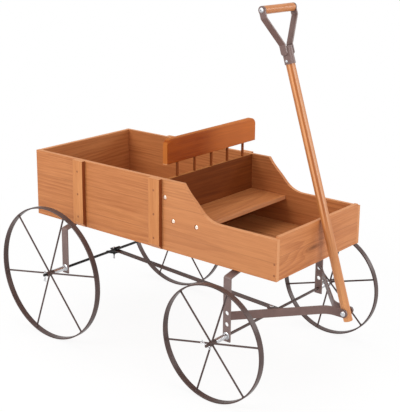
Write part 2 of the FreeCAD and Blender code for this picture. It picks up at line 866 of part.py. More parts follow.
def sleeve_screw():
    outer = pole_radius + sleeve_fit + sleeve_wall
    face = V(0, -outer, sleeve_screw_height)
    head = domed_head(sleeve_screw_head_radius, sleeve_screw_head_height, face, -Y_AXIS)
    shank = Part.makeCylinder(sleeve_screw_radius, sleeve_screw_length, face, Y_AXIS)
    return leaned(head.fuse(shank).removeSplitter())


def yoke_strap(side):
    """A strap from the sleeve out to the grip's end, with a round eye at the top."""
    inner_y = grip_half_length + grip_end_gap
    tab_y = pole_radius + sleeve_fit + sleeve_wall
    path = [(tab_y, yoke_tab_start), (tab_y, grip_height - yoke_bend_drop),
            (inner_y, grip_height - yoke_eye_drop), (inner_y, grip_height + eye_radius)]
    outline = [(side * y, z) for y, z in strap_outline(path, -yoke_thickness)]
    strap = prism_along_x(outline, -yoke_width / 2, yoke_width / 2)
    outer_y = inner_y + yoke_thickness
    eye = cross_rod(eye_radius, 0, grip_height, side * inner_y, side * outer_y)
    keep = box((-yoke_width / 2, -outer_y, yoke_tab_start), (yoke_width / 2, outer_y, grip_height))
    strap = strap.common(keep).fuse(eye).removeSplitter()
    strap = round_edges(strap, yoke_tab_round, lambda edge: runs_along(edge, Y_AXIS)
                        and edge.Vertexes[0].Z < yoke_tab_start + tolerance)
    hole_end = side * (outer_y + cut_margin)
    hole = cross_rod(grip_screw_radius + fastener_clearance, 0, grip_height, 0, hole_end)
    return leaned(strap.cut(hole))


def grip():
    bar = cross_rod(grip_radius, 0, grip_height, -grip_half_length, grip_half_length)
    ends = [edge for edge in bar.Edges if edge.Curve.TypeId == "Part::GeomCircle"]
    bar = bar.makeFillet(grip_end_round, ends)
    for side in (RIGHT, LEFT):
        inner_end = side * (grip_half_length + grip_end_gap + yoke_thickness - grip_screw_length)
        bar = bar.cut(cross_rod(grip_screw_radius + fastener_clearance, 0, grip_height,
                                inner_end, side * grip_half_length))
    return leaned(bar)


def grip_screws():
    screws = []
    for side in (RIGHT, LEFT):
        face = V(0, side * (grip_half_length + grip_end_gap + yoke_thickness), grip_height)
        outward = V(0, side, 0)
        head = domed_head(grip_screw_head_radius, grip_screw_head_height, face, outward)
        shank = Part.makeCylinder(grip_screw_radius, grip_screw_length, face, -outward)
        screws.append(leaned(head.fuse(shank).removeSplitter()))
    return Part.makeCompound(screws)


def all_nodes():
    """Every sub-part's shape by name."""
    nodes = {}
    for side, name in ((RIGHT, "right"), (LEFT, "left")):
        nodes["side_panel_" + name] = side_panel(side)
        nodes["batten_rear_" + name] = batten(batten_rear_x, side)
        nodes["batten_middle_" + name] = batten(batten_middle_x, side)
        nodes["fork_strap_" + name] = fork_strap(side)
        nodes["yoke_strap_" + name] = yoke_strap(side)
        for end in ("front", "rear"):
            suffix = "_" + end + "_" + name
            nodes["rim" + suffix] = wheel_rim(end, side)
            nodes["hub" + suffix] = wheel_hub(end, side)
            nodes["spokes" + suffix] = wheel_spokes(end, side)
    for index, name in enumerate(("right", "middle", "left")):
        nodes["floor_board_" + name] = floor_board(index)
    for index in range(spindle_count):
        nodes["backrest_spindle_%d" % (index + 1)] = spindle_rod(index, spindle_radius)
    for end in ("front", "rear"):
        nodes[end + "_axle"] = axle(end)
        nodes[end + "_bracket"] = bracket(end)
    nodes["front_panel"] = front_panel()
    nodes["rear_panel"] = rear_panel()
    nodes["divider_panel"] = divider_panel()
    nodes["seat_board"] = seat_board()
    nodes["backrest_rail"] = backrest_rail()
    nodes["side_screws"] = Part.makeCompound(
        [wood_screw(point, side) for side in (RIGHT, LEFT) for point in screw_points])
    nodes["nails"] = nails(nail_places)
    nodes["bracket_screws"] = bracket_screws()
    nodes["split_pins"] = on_every_axle_end(split_pin)
    nodes["axle_spacers"] = on_every_axle_end(axle_spacer)
    nodes["axle_nuts"] = on_every_axle_end(axle_nut)
    nodes["pivot_bolt"] = pivot_bolt()
    nodes["pivot_nut"] = pivot_nut()
    nodes["reach_bar"] = reach_bar()
    nodes["reach_front_clip"] = front_clip()
    nodes["reach_rear_clip"] = rear_clip()
    nodes["reach_bolt"] = front_clip_bolt()
    nodes["reach_bolt_nut"] = front_clip_nut()
    nodes["wing_bolt"] = wing_bolt()
    nodes["wing_nut"] = wing_nut()
    nodes["handle_pole"] = pole()
    nodes["handle_sleeve"] = handle_sleeve()
    nodes["sleeve_screw"] = sleeve_screw()
    nodes["handle_grip"] = grip()
    nodes["grip_screws"] = grip_screws()
    return nodes


os.makedirs("parts", exist_ok=True)
for node_name, node_shape in all_nodes().items():
    node_shape.exportStep(os.path.join("parts", node_name + ".step"))
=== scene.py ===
"""Looks of a wooden flower cart stand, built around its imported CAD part.

The boards, straps, rods and rims keep their CAD meshes and get procedural finishes here. The
small hardware that a plain solid can't show is built here as numeric surfaces: weld beads on
the spokes, screws with cross recesses, bevelled nuts, threads and the wing nut.
Places are in metres in the frame of the CAD part, +X forward, +Y to the left and +Z up. The
sizes of small pieces and of the grain are in millimetres.
"""
import logging
import math
from dataclasses import dataclass
from enum import Enum

import bpy
import numpy as np
from mathutils import Matrix, Vector


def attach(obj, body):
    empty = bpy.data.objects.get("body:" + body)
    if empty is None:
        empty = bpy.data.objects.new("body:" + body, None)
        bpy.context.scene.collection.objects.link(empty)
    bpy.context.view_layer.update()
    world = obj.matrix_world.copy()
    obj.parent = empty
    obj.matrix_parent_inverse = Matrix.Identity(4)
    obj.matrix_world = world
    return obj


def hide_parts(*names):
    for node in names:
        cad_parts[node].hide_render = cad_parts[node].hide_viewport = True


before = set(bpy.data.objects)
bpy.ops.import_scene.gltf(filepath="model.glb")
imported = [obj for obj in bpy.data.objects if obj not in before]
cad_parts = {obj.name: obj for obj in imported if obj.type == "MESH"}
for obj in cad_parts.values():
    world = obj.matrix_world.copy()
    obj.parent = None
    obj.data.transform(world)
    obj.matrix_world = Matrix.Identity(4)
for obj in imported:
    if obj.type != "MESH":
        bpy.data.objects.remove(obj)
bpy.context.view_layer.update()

MM = 0.001
LOG = logging.getLogger("flower_cart")
Triple = tuple[float, float, float]
Socket = bpy.types.NodeSocket


class Slot(Enum):
    """The record's material slots, each kept with a coating."""

    BROWN_PAINT = "brown_paint"
    BLACK_PAINT = "black_paint"
    ZINC_PLATE = "zinc_plate"


class Grain(Enum):
    """Which axes run along a board's grain, across its face and through its thickness."""

    LONG_SIDE = "XZY"
    CROSS_BOARD = "YZX"
    FLOOR = "XYZ"
    SEAT = "YXZ"
    UPRIGHT = "ZXY"


class Turned(Enum):
    """The direction in which a small round piece points."""

    RIGHT = (0.0, -1.0, 0.0)
    LEFT = (0.0, 1.0, 0.0)
    DOWN = (0.0, 0.0, -1.0)


SIDES = ((-1, Turned.RIGHT.value), (1, Turned.LEFT.value))


# Places that the CAD part fixes, repeated here because this script reads only the frame


@dataclass(frozen=True)
class Layout:
    """Where the main features of the cart are, in metres and radians."""

    front_axle: Triple = (0.179484, 0.0, 0.1016)
    rear_axle: Triple = (-0.207916, 0.0, 0.127)
    pivot: Triple = (0.322812, 0.0, 0.138)
    handle_lean: float = math.radians(17.6)
    reach_slope: float = 0.0469
    track: float = 0.180
    leg_face: float = 0.141
    fork_face: float = 0.0107
    side_recess: float = 0.1257
    under_bracket: float = 0.2115


LAYOUT = Layout()

# Each wheel's end, hand, radius in millimetres and the angle of its first spoke in degrees
WHEELS = (("front", "right", 101.6, 12.0), ("front", "left", 101.6, 16.5),
          ("rear", "right", 127.0, 10.5), ("rear", "left", 127.0, 7.6))


# Surfaces worked out with numpy


@dataclass
class Shell:
    """A closed surface: its points, its four-cornered faces and the triangles at its ends."""

    points: np.ndarray
    quads: np.ndarray
    fans: np.ndarray


def ring_angles(columns: int) -> np.ndarray:
    """Even angles round an axis."""
    return np.linspace(0.0, 2 * np.pi, columns, endpoint=False)


def grid_faces(rows: int, columns: int) -> np.ndarray:
    """Quads of a grid of points whose last column joins the first.

    Args:
        rows: Number of rings of points.
        columns: Number of points in each ring.

    Returns:
        Corner indices, four to a face.
    """
    across = np.arange(columns)
    row = np.arange(rows - 1)[:, None] * columns
    here = row + across
    beside = row + (across + 1) % columns
    return np.stack([here, beside, beside + columns, here + columns], axis=-1).reshape(-1, 4)


def closed_tube(rings: np.ndarray) -> Shell:
    """A tube through rings of points, closed by a fan at each end.

    Each fan's middle is the mean of its end ring, so a ring of any outline is closed flat.

    Args:
        rings: Points of shape (rows, columns, 3), each row a closed ring.

    Returns:
        The shell, its faces outwards when the rings turn clockwise as seen from the start.
    """
    rows, columns, _ = rings.shape
    middles = [rings[:1].mean(axis=1), rings[-1:].mean(axis=1)]
    first, last = rows * columns, rows * columns + 1
    ring = np.arange(columns)
    following = (ring + 1) % columns
    base = (rows - 1) * columns
    start = np.stack([np.full(columns, first), following, ring], axis=-1)
    end = np.stack([np.full(columns, last), base + ring, base + following], axis=-1)
    return Shell(np.concatenate([rings.reshape(-1, 3), *middles]), grid_faces(rows, columns),
                 np.concatenate([start, end]))


def turned(radius: np.ndarray, height: np.ndarray, base: Triple, axis: Triple) -> Shell:
    """A closed shell around an axis.

    A point lies at base + axis * height + radius * (cosine, sine of its angle) across the axis,
    where radius and height may change with the angle as well as along the profile.

    Args:
        radius: Distances from the axis in millimetres, of shape (rows, columns).
        height: Distances along the axis in millimetres, of the same shape.
        base: The point that heights are counted from, in metres.
        axis: A unit vector.

    Returns:
        The shell.
    """
    along = np.asarray(axis, float)
    helper = np.array([1.0, 0.0, 0.0]) if abs(along[0]) < 0.9 else np.array([0.0, 0.0, 1.0])
    across = np.cross(along, helper)
    across /= np.linalg.norm(across)
    other = np.cross(along, across)
    angle = ring_angles(radius.shape[1])
    ring = np.cos(angle)[:, None] * across + np.sin(angle)[:, None] * other
    return closed_tube(base + MM * (height[..., None] * along + radius[..., None] * ring))


def profile(pairs: tuple[tuple[float, float], ...], columns: int) -> tuple[np.ndarray, np.ndarray]:
    """A profile repeated round the axis.

    Args:
        pairs: Radius and height of each point, from the base to the tip.
        columns: Number of points round the axis.

    Returns:
        Radii and heights, each of shape (points, columns).
    """
    table = np.array(pairs)
    ones = np.ones(columns)
    return table[:, :1] * ones, table[:, 1:] * ones


def link_object(name: str, data: bpy.types.ID) -> bpy.types.Object:
    """Put a new object into the scene, at the origin.

    Args:
        name: The object's name.
        data: Its mesh, light or camera.

    Returns:
        The object.
    """
    made = bpy.data.objects.new(name, data)
    bpy.context.scene.collection.objects.link(made)
    return made


def made_object(name: str, shells: list[Shell], crisp: float) -> bpy.types.Object:
    """Put shells into one mesh object at the origin.

    Args:
        name: The new object's name.
        shells: The shells.
        crisp: Edges sharper than this many degrees stay crisp.

    Returns:
        The new object, linked to the scene.
    """
    starts = np.cumsum([0] + [len(shell.points) for shell in shells[:-1]])
    points = np.concatenate([shell.points for shell in shells])
    quads = np.concatenate([shell.quads + start for shell, start in zip(shells, starts)])
    fans = np.concatenate([shell.fans + start for shell, start in zip(shells, starts)])
    mesh = bpy.data.meshes.new(name)
    mesh.from_pydata(points.tolist(), [], quads.tolist() + fans.tolist())
    mesh.validate()
    mesh.shade_smooth()
    mesh.set_sharp_from_angle(angle=math.radians(crisp))
    return link_object(name, mesh)


# Shader writing


def colour(tint: Triple, level: float = 1.0) -> tuple[float, float, float, float]:
    """A tint at a level of brightness, with full opacity."""
    return (*(level * part for part in tint), 1.0)


def cleared_tree(owner: bpy.types.ID) -> bpy.types.NodeTree:
    """Empty a shader tree.

    Args:
        owner: The material or world that it belongs to.

    Returns:
        The tree.
    """
    owner.use_nodes = True
    owner.node_tree.nodes.clear()
    return owner.node_tree


class Sheet:
    """Writes nodes into one shader tree."""

    def __init__(self, tree: bpy.types.NodeTree) -> None:
        """Start on a tree."""
        self.tree = tree

    def node(self, kind: str, sockets: dict | None = None, **settings: object) -> bpy.types.Node:
        """Add a node.

        Args:
            kind: The node's type name.
            sockets: Values or sockets for its inputs, by name or number.
            settings: The node's own properties.

        Returns:
            The new node.
        """
        made = self.tree.nodes.new(kind)
        for name, value in settings.items():
            setattr(made, name, value)
        for name, value in (sockets or {}).items():
            self.feed(made.inputs[name], value)
        return made

    def feed(self, socket: Socket, value: object) -> None:
        """Give an input what it takes.

        Args:
            socket: The input.
            value: A socket to link into it, or a plain value.
        """
        if isinstance(value, bpy.types.NodeSocket):
            self.tree.links.new(value, socket)
        else:
            socket.default_value = value

    def group(self, tree: bpy.types.NodeTree, sockets: dict | None = None) -> dict[str, Socket]:
        """The outputs of a shared group, placed with its own values."""
        return dict(self.node("ShaderNodeGroup", sockets, node_tree=tree).outputs.items())

    def math(self, operation: str, *values: object, clamp: bool = False) -> Socket:
        """A Math node's result."""
        inputs = dict(enumerate(values))
        return self.node("ShaderNodeMath", inputs, operation=operation, use_clamp=clamp).outputs[0]

    def plus(self, first: object, second: object) -> Socket:
        """The sum of two values."""
        return self.math("ADD", first, second)

    def minus(self, first: object, second: object) -> Socket:
        """The first value less the second."""
        return self.math("SUBTRACT", first, second)

    def times(self, first: object, second: object) -> Socket:
        """The product of two values."""
        return self.math("MULTIPLY", first, second)

    def vector(self, operation: str, *values: object, output: int = 0) -> Socket:
        """A Vector Math node's vector, or its number as output 1."""
        inputs = dict(enumerate(values))
        return self.node("ShaderNodeVectorMath", inputs, operation=operation).outputs[output]

    def measure(self, operation: str, *values: object) -> Socket:
        """A Vector Math node's number, for the operations that give one."""
        return self.vector(operation, *values, output=1)

    def split(self, vector: Socket) -> list[Socket]:
        """The three parts of a vector."""
        return list(self.node("ShaderNodeSeparateXYZ", {0: vector}).outputs)

    def smooth(self, value: object, low: float, high: float) -> Socket:
        """How far a value has gone from low to high, 0 to 1, eased at both ends."""
        sockets = {"Value": value, "From Min": low, "From Max": high}
        return self.node("ShaderNodeMapRange", sockets, interpolation_type="SMOOTHSTEP").outputs[0]

    def lay(self, base: object, mask: object, strength: float, tint: Triple,
            level: float = 1.0) -> Socket:
        """Lay a tint over a colour.

        Args:
            base: The colour below.
            mask: Where the tint lies, 0 to 1.
            strength: How much of it shows where the mask is 1.
            tint: The tint.
            level: Its brightness.

        Returns:
            The mixed colour.
        """
        share = mask if strength == 1.0 else self.times(mask, strength)
        mix = self.node("ShaderNodeMix", data_type="RGBA", blend_type="MIX")
        for index, value in ((0, share), (6, base), (7, colour(tint, level))):
            self.feed(mix.inputs[index], value)
        return mix.outputs[2]

    def noise(self, vector: object, scale: float, detail: float = 3.0,
              rough: float = 0.5) -> Socket:
        """Noise around 0.5 at a scale in cycles a unit."""
        sockets = {"Vector": vector, "Scale": scale, "Detail": detail, "Roughness": rough}
        return self.node("ShaderNodeTexNoise", sockets).outputs[0]

    def fibres(self, point: Socket, along: float, across: float, detail: float,
               rough: float = 0.5) -> Socket:
        """Noise around 0.5, in cycles a unit along the grain and across it."""
        stretched = self.vector("MULTIPLY", point, (along, across, across))
        return self.noise(stretched, 1.0, detail, rough)


class Surface(Sheet):
    """Writes one material around a Principled shader."""

    def __init__(self, name: str, plain: Triple, metallic: float, gloss: float) -> None:
        """Start the material.

        Args:
            name: The material's name.
            plain: Its viewport colour.
            metallic: Its metallic value.
            gloss: Its specular level, the same all over.
        """
        self.material = bpy.data.materials.new(name)
        self.material.diffuse_color = colour(plain)
        super().__init__(cleared_tree(self.material))
        self.shader = self.node("ShaderNodeBsdfPrincipled", {"Metallic": metallic,
                                                             "Specular IOR Level": gloss})
        self.node("ShaderNodeOutputMaterial", {"Surface": self.shader.outputs[0]})

    def finish(self, base: Socket, rough: Socket, relief: Socket, strength: float,
               depth: float) -> bpy.types.Material:
        """Feed the shader.

        Args:
            base: Base colour.
            rough: Roughness.
            relief: Height of the bump.
            strength: The bump's strength.
            depth: The bump's depth in millimetres.

        Returns:
            The material.
        """
        bump = self.node("ShaderNodeBump", {"Strength": strength, "Distance": depth * MM,
                                            "Height": relief})
        fed = {"Base Color": base, "Roughness": rough, "Normal": bump.outputs[0]}
        for label, value in fed.items():
            self.feed(self.shader.inputs[label], value)
        return self.material


def new_group(name: str, inputs: dict[str, object],
              outputs: tuple[str, ...]) -> tuple[Sheet, dict[str, Socket], dict[str, Socket]]:
    """Start a shader node group that puts out plain values.

    Args:
        name: The group's name.
        inputs: Default value of each input: a number, or a triple for a vector.
        outputs: The outputs' names.

    Returns:
        The sheet that writes into the group, what it is given and what it puts out, by name.
    """
    tree = bpy.data.node_groups.new(name, "ShaderNodeTree")
    for label, value in inputs.items():
        kind = "NodeSocketVector" if isinstance(value, tuple) else "NodeSocketFloat"
        socket = tree.interface.new_socket(name=label, in_out="INPUT", socket_type=kind)
        socket.default_value = value
    for label in outputs:
        tree.interface.new_socket(name=label, in_out="OUTPUT", socket_type="NodeSocketFloat")
    sheet = Sheet(tree)
    given, result = sheet.node("NodeGroupInput"), sheet.node("NodeGroupOutput")
    return sheet, dict(given.outputs.items()), dict(result.inputs.items())


# The grain pattern, in millimetres: how far apart the planks' patterns lie, how far rings sway
# and ripple, how they swell round a knot and how fast that dies away, and a glue line's edges
PLANK_SHIFT = (900.0, 46.0, 12.0)
RING_SWAY = 15.0
RING_RIPPLE = 1.8
KNOT_SWELL = 22.0
KNOT_DECAY = -0.16
KNOT_STRETCH = (0.22, 1.0, 0.22)
EULER = 2.718
GLUE_LINE = (0.45, 0.12)

# Its noises: cycles a millimetre along and across the grain, detail and roughness
SWAY_NOISE = (0.0045, 0.022, 2.0)
RIPPLE_NOISE = (0.016, 0.12, 3.0)
ZONE_NOISE = (0.0035, 0.024, 2.0)
TONE_NOISE = (0.0065, 0.03, 3.0)
FINE_NOISE = (0.03, 1.1, 4.0, 0.6)
BROAD_NOISE = (0.005, 0.23, 4.0, 0.6)


def grain_group() -> bpy.types.NodeTree:
    """Glued softwood planks: growth rings cut by the face, fine streaks, knots and seams.

    The input point is in millimetres, x along the grain, y across the face and z through the
    board. The face is divided across into planks, and each plank's number seeds a shift of its
    pattern. Rings are cylinders about a pith line that lies behind the face and tilts away
    along the board, so their cut makes long arches. A ring darkens slowly towards its dense
    late wood and ends sharply, and rings show strongly in some bands and faintly in others.
    Streaks are noise stretched along the grain, at two widths.

    Returns:
        The group.
    """
    sheet, given, result = new_group(
        "softwood_planks",
        {"Point": (0.0, 0.0, 0.0), "Ring Spacing": 4.0, "Pith Depth": 40.0, "Tilt": 0.04,
         "Knot": (1000.0, 0.0, 0.0), "Plank Width": 50.0},
        ("Rings", "Streaks", "Tone", "Knot", "Seam"))
    whole, width = given["Point"], given["Plank Width"]
    share = sheet.math("DIVIDE", sheet.split(whole)[1], width)
    from_middle = sheet.math("ABSOLUTE", sheet.minus(sheet.math("FRACT", share), 0.5))
    gap = sheet.times(sheet.minus(0.5, from_middle), width)
    sheet.feed(result["Seam"], sheet.smooth(gap, *GLUE_LINE))
    number = sheet.plus(sheet.math("FLOOR", share), 0.37)
    seed = sheet.node("ShaderNodeTexWhiteNoise", {"W": number},
                      noise_dimensions="1D").outputs["Color"]
    centred = sheet.vector("SUBTRACT", seed, (0.5, 0.5, 0.5))
    point = sheet.vector("ADD", whole, sheet.vector("MULTIPLY", centred, PLANK_SHIFT))

    from_knot = sheet.vector("SUBTRACT", whole, given["Knot"])
    far = sheet.measure("LENGTH", sheet.vector("MULTIPLY", from_knot, KNOT_STRETCH))
    knot = sheet.math("POWER", EULER, sheet.times(far, KNOT_DECAY))
    sheet.feed(result["Knot"], sheet.smooth(knot, 0.25, 0.95))

    along, across, through = sheet.split(point)
    depth = sheet.plus(sheet.plus(through, given["Pith Depth"]), sheet.times(along, given["Tilt"]))
    slow = sheet.fibres(point, *SWAY_NOISE)
    reach = sheet.plus(across, sheet.times(sheet.minus(slow, 0.5), RING_SWAY))
    distance = sheet.math("SQRT", sheet.plus(sheet.times(reach, reach), sheet.times(depth, depth)))
    ripple = sheet.times(sheet.fibres(point, *RIPPLE_NOISE), RING_RIPPLE)
    total = sheet.plus(sheet.plus(distance, ripple), sheet.times(knot, KNOT_SWELL))
    ring = sheet.math("FRACT", sheet.math("DIVIDE", total, given["Ring Spacing"]))
    late = sheet.times(sheet.smooth(ring, 0.25, 0.88), sheet.smooth(ring, 1.0, 0.93))
    zone = sheet.smooth(sheet.fibres(point, *ZONE_NOISE), 0.44, 0.60)
    sheet.feed(result["Rings"], sheet.times(late, sheet.plus(sheet.times(zone, 0.92), 0.08)))

    fine = sheet.fibres(point, *FINE_NOISE)
    broad = sheet.fibres(point, *BROAD_NOISE)
    sheet.feed(result["Streaks"], sheet.smooth(sheet.plus(sheet.times(fine, 0.5),
                                                          sheet.times(broad, 0.5)), 0.38, 0.64))
    tone = sheet.times(sheet.fibres(point, *TONE_NOISE), 0.75)
    level = sheet.plus(tone, sheet.times(sheet.split(seed)[0], 0.25))
    sheet.feed(result["Tone"], sheet.smooth(level, 0.34, 0.66))
    return sheet.tree


def edge_group() -> bpy.types.NodeTree:
    """A mask of outside edges, broken up by noise, for worn paint, stained arrises and painted
    highlights.

    The mask is how far the normal, rounded off over the radius, turns from the true one.

    Returns:
        The group.
    """
    sheet, given, result = new_group("edge_mask", {"Radius": 0.0012, "Strength": 1.0}, ("Edge",))
    place = sheet.node("ShaderNodeTexCoord").outputs["Object"]
    rounded = sheet.node("ShaderNodeBevel", {"Radius": given["Radius"]}, samples=6)
    true = sheet.node("ShaderNodeNewGeometry").outputs["Normal"]
    agreement = sheet.measure("DOT_PRODUCT", rounded.outputs[0], true)
    patch = sheet.smooth(sheet.noise(place, 260.0, 4.0, 0.6), 0.36, 0.62)
    patchy = sheet.plus(sheet.times(patch, 0.7), 0.3)
    worn = sheet.times(sheet.smooth(agreement, 0.995, 0.86), patchy)
    sheet.feed(result["Edge"], sheet.math("MULTIPLY", worn, given["Strength"], clamp=True))
    return sheet.tree


def coat_group() -> bpy.types.NodeTree:
    """Sprayed paint: the fine dimples of its skin, slow changes of tone, and settled dust.

    Returns:
        The group.
    """
    sheet, given, result = new_group("sprayed_coat", {"Dimple Size": 900.0},
                                     ("Skin", "Tone", "Dust"))
    coordinates = sheet.node("ShaderNodeTexCoord")
    place = coordinates.outputs["Object"]
    sheet.feed(result["Skin"], sheet.noise(place, given["Dimple Size"], 2.0))
    sheet.feed(result["Tone"], sheet.smooth(sheet.noise(place, 22.0, 4.0, 0.55), 0.3, 0.7))
    upward = sheet.split(coordinates.outputs["Normal"])[2]
    speck = sheet.smooth(sheet.noise(place, 420.0, 3.0, 0.7), 0.42, 0.75)
    sheet.feed(result["Dust"], sheet.times(speck, sheet.smooth(upward, 0.2, 1.0)))
    return sheet.tree


class Groups:
    """The shared shader groups, each built once."""

    def __init__(self) -> None:
        """Build the groups."""
        self.grain = grain_group()
        self.edge = edge_group()
        self.coat = coat_group()


# Finishes


@dataclass(frozen=True)
class Fade:
    """A paler tint towards one end of a board, from start to end in millimetres along its grain."""

    tint: Triple
    share: float
    start: float
    end: float


@dataclass(frozen=True)
class PaintedPoleReflection:
    """Painted reflection on a turned pole, in millimetres: two pale bands of painted highlight with
    a dark band of painted shade between them.

    Each band has its place in the direction across the pole, and fades out from its core to its
    edge. The bands come in along the pole from start to end.
    """

    across: tuple[float, float] = (0.84, 0.54)
    # The dark band at 0.9 is painted shade; the pale bands at 4.6 and -2.7 are painted highlights
    bands: tuple[tuple[float, Triple], ...] = (
        (0.9, (0.28, 0.060, 0.010)), (4.6, (1.0, 0.64, 0.42)), (-2.7, (0.80, 0.39, 0.19)))
    core: float = 0.8
    edge: float = 2.1
    start: float = 110.0
    end: float = 200.0
    share: float = 0.6

    def show(self, sheet: Sheet, place: list[Socket], base: Socket) -> Socket:
        """Lay the painted highlight and painted shade bands over a colour.

        Args:
            sheet: The material's sheet.
            place: The three coordinates, in metres along the pole's own axes.
            base: The colour below.

        Returns:
            The colour with the bands.
        """
        side = sheet.plus(*(sheet.times(place[k], self.across[k] / MM) for k in range(2)))
        reach = sheet.smooth(place[2], self.start * MM, self.end * MM)
        for middle, tint in self.bands:
            away = sheet.math("ABSOLUTE", sheet.minus(side, middle))
            near = sheet.minus(1.0, sheet.smooth(away, self.core, self.edge))
            base = sheet.lay(base, sheet.times(near, reach), self.share, tint)
        return base


@dataclass(frozen=True)
class Cut:
    """How one board was cut from the log: its grain's direction, place and spacing.

    Offsets are in millimetres in grain order, along, across and through the board. A leaning
    piece is turned upright by its lean, about a point in metres, before its grain is laid.
    """

    grain: Grain
    offset: Triple
    spacing: float = 4.2
    depth: float = 38.0
    tilt: float = 0.035
    knot: Triple = (3000.0, 0.0, 0.0)
    plank: float = 50.0
    lean: float = 0.0
    about: Triple = (0.0, 0.0, 0.0)
    fade: Fade | None = None
    painted_reflection: PaintedPoleReflection | None = None


@dataclass(frozen=True)
class WoodFinish:
    """Stained softwood.

    Its colours are of the early wood, the late wood, sawn edges, rounded corners, and the painted
    shade that darkens the narrow sides of some pieces. On some woods the corner colour is a pale
    painted highlight. The knots and seams have a strength and the brightness of the late wood that
    shows in them.
    """

    pale: Triple = (0.625, 0.253, 0.086)
    dark: Triple = (0.30, 0.085, 0.021)
    sawn: Triple = (0.64, 0.30, 0.135)
    corner: Triple = (0.28, 0.085, 0.028)
    side_shade_tint: Triple = (0.15, 0.030, 0.006)
    ring_strength: float = 0.46
    streak_strength: float = 0.46
    tone_strength: float = 0.40
    corner_strength: float = 0.55
    corner_radius: float = 0.0012
    painted_side_shade: float = 0.0
    roughness: float = 0.44
    gloss: float = 0.3
    coat: float = 0.0
    coat_roughness: float = 0.12

    def layers(self) -> tuple[tuple[str, float, float], ...]:
        """What lies over the early wood, in order: its name, strength and brightness."""
        return (("Rings", self.ring_strength, 1.0), ("Streaks", self.streak_strength, 0.85),
                ("Tone", self.tone_strength, 1.25), ("Knot", 0.75, 0.45), ("Seam", 0.55, 0.55))

    def dress(self, name: str, groups: Groups, cut: Cut) -> bpy.types.Material:
        """Make the material for one board.

        The layers and then the cut's fade and painted reflection lie over the early wood. Faces
        that cross the grain or close the board's width count as sawn.

        Args:
            name: The material's name.
            groups: The shared shader groups.
            cut: How the board was cut.

        Returns:
            The material.
        """
        sheet = Surface(name, self.pale, 0.0, self.gloss)
        coordinates = sheet.node("ShaderNodeTexCoord")
        place, normal = coordinates.outputs["Object"], coordinates.outputs["Normal"]
        if cut.lean:
            turn = {"Rotation": (0.0, cut.lean, 0.0)}
            place = sheet.node("ShaderNodeMapping", {
                "Vector": sheet.vector("SUBTRACT", place, cut.about), **turn}).outputs[0]
            normal = sheet.node("ShaderNodeMapping", {"Vector": normal, **turn},
                                vector_type="NORMAL").outputs[0]
        spots, faces = sheet.split(place), sheet.split(normal)
        order = ["XYZ".index(letter) for letter in cut.grain.value]
        ordered = sheet.node("ShaderNodeCombineXYZ", {k: spots[order[k]] for k in range(3)})
        point = sheet.vector("MULTIPLY", ordered.outputs[0], (1 / MM,) * 3)
        pattern = sheet.group(groups.grain, {
            "Point": sheet.vector("ADD", point, cut.offset), "Ring Spacing": cut.spacing,
            "Pith Depth": cut.depth, "Tilt": cut.tilt, "Knot": cut.knot, "Plank Width": cut.plank})
        cut_end, cut_side = (sheet.smooth(sheet.math("ABSOLUTE", faces[axis]), 0.7, 0.95)
                             for axis in order[:2])
        base = colour(self.pale)
        for label, strength, level in self.layers():
            base = sheet.lay(base, pattern[label], strength, self.dark, level)
        # A paler end of a board; on the near side panel's front it is painted light
        if cut.fade:
            reach = sheet.smooth(spots[order[0]], cut.fade.start * MM, cut.fade.end * MM)
            base = sheet.lay(base, reach, cut.fade.share, cut.fade.tint)
        # Painted highlights and painted shade of a reflection along the pole
        if cut.painted_reflection:
            base = cut.painted_reflection.show(sheet, spots, base)
        sawn = sheet.math("MAXIMUM", cut_end, cut_side)
        base = sheet.lay(base, sawn, 0.6, self.sawn)
        # Corner colour on outside edges: a stained arris on most boards, a painted highlight on the
        # rail and divider
        edge = sheet.group(groups.edge, {"Radius": self.corner_radius,
                                         "Strength": self.corner_strength})
        base = sheet.lay(base, edge["Edge"], 1.0, self.corner)
        # Painted shade on the narrow sides of the battens
        if self.painted_side_shade:
            base = sheet.lay(base, cut_side, self.painted_side_shade, self.side_shade_tint)
        if self.coat:
            sheet.feed(sheet.shader.inputs["Coat Weight"], self.coat)
            sheet.feed(sheet.shader.inputs["Coat Roughness"], self.coat_roughness)
        rings, streaks = pattern["Rings"], pattern["Streaks"]
        rough = sheet.plus(sheet.plus(self.roughness, sheet.times(streaks, 0.12)),
                           sheet.times(sawn, 0.2))
        relief = sheet.plus(sheet.times(streaks, -0.6), sheet.times(rings, 0.4))
        return sheet.finish(base, rough, sheet.minus(relief, pattern["Seam"]), 0.25, 0.2)


@dataclass(frozen=True)
class PaintFinish:
    """Sprayed paint on steel, slightly worn to metal tone along its edges, with a little dust."""

    body: Triple = (0.126, 0.070, 0.060)
    light: Triple = (0.170, 0.102, 0.090)
    worn: Triple = (0.34, 0.25, 0.22)
    dust: Triple = (0.36, 0.29, 0.26)
    roughness: float = 0.38
    wear: float = 0.5
    gloss: float = 0.4
    edge_radius: float = 0.0009

    def dress(self, name: str, groups: Groups) -> bpy.types.Material:
        """Make the material.

        Args:
            name: The material's name.
            groups: The shared shader groups.

        Returns:
            The material.
        """
        sheet = Surface(name, self.body, 0.0, self.gloss)
        coat = sheet.group(groups.coat)
        edge = sheet.group(groups.edge, {"Radius": self.edge_radius, "Strength": self.wear})
        base = sheet.lay(colour(self.body), coat["Tone"], 1.0, self.light)
        base = sheet.lay(base, edge["Edge"], 1.0, self.worn)
        base = sheet.lay(base, coat["Dust"], 0.22, self.dust)
        rough = sheet.plus(self.roughness, sheet.times(coat["Dust"], 0.25))
        return sheet.finish(base, rough, coat["Skin"], 0.12, 0.15)


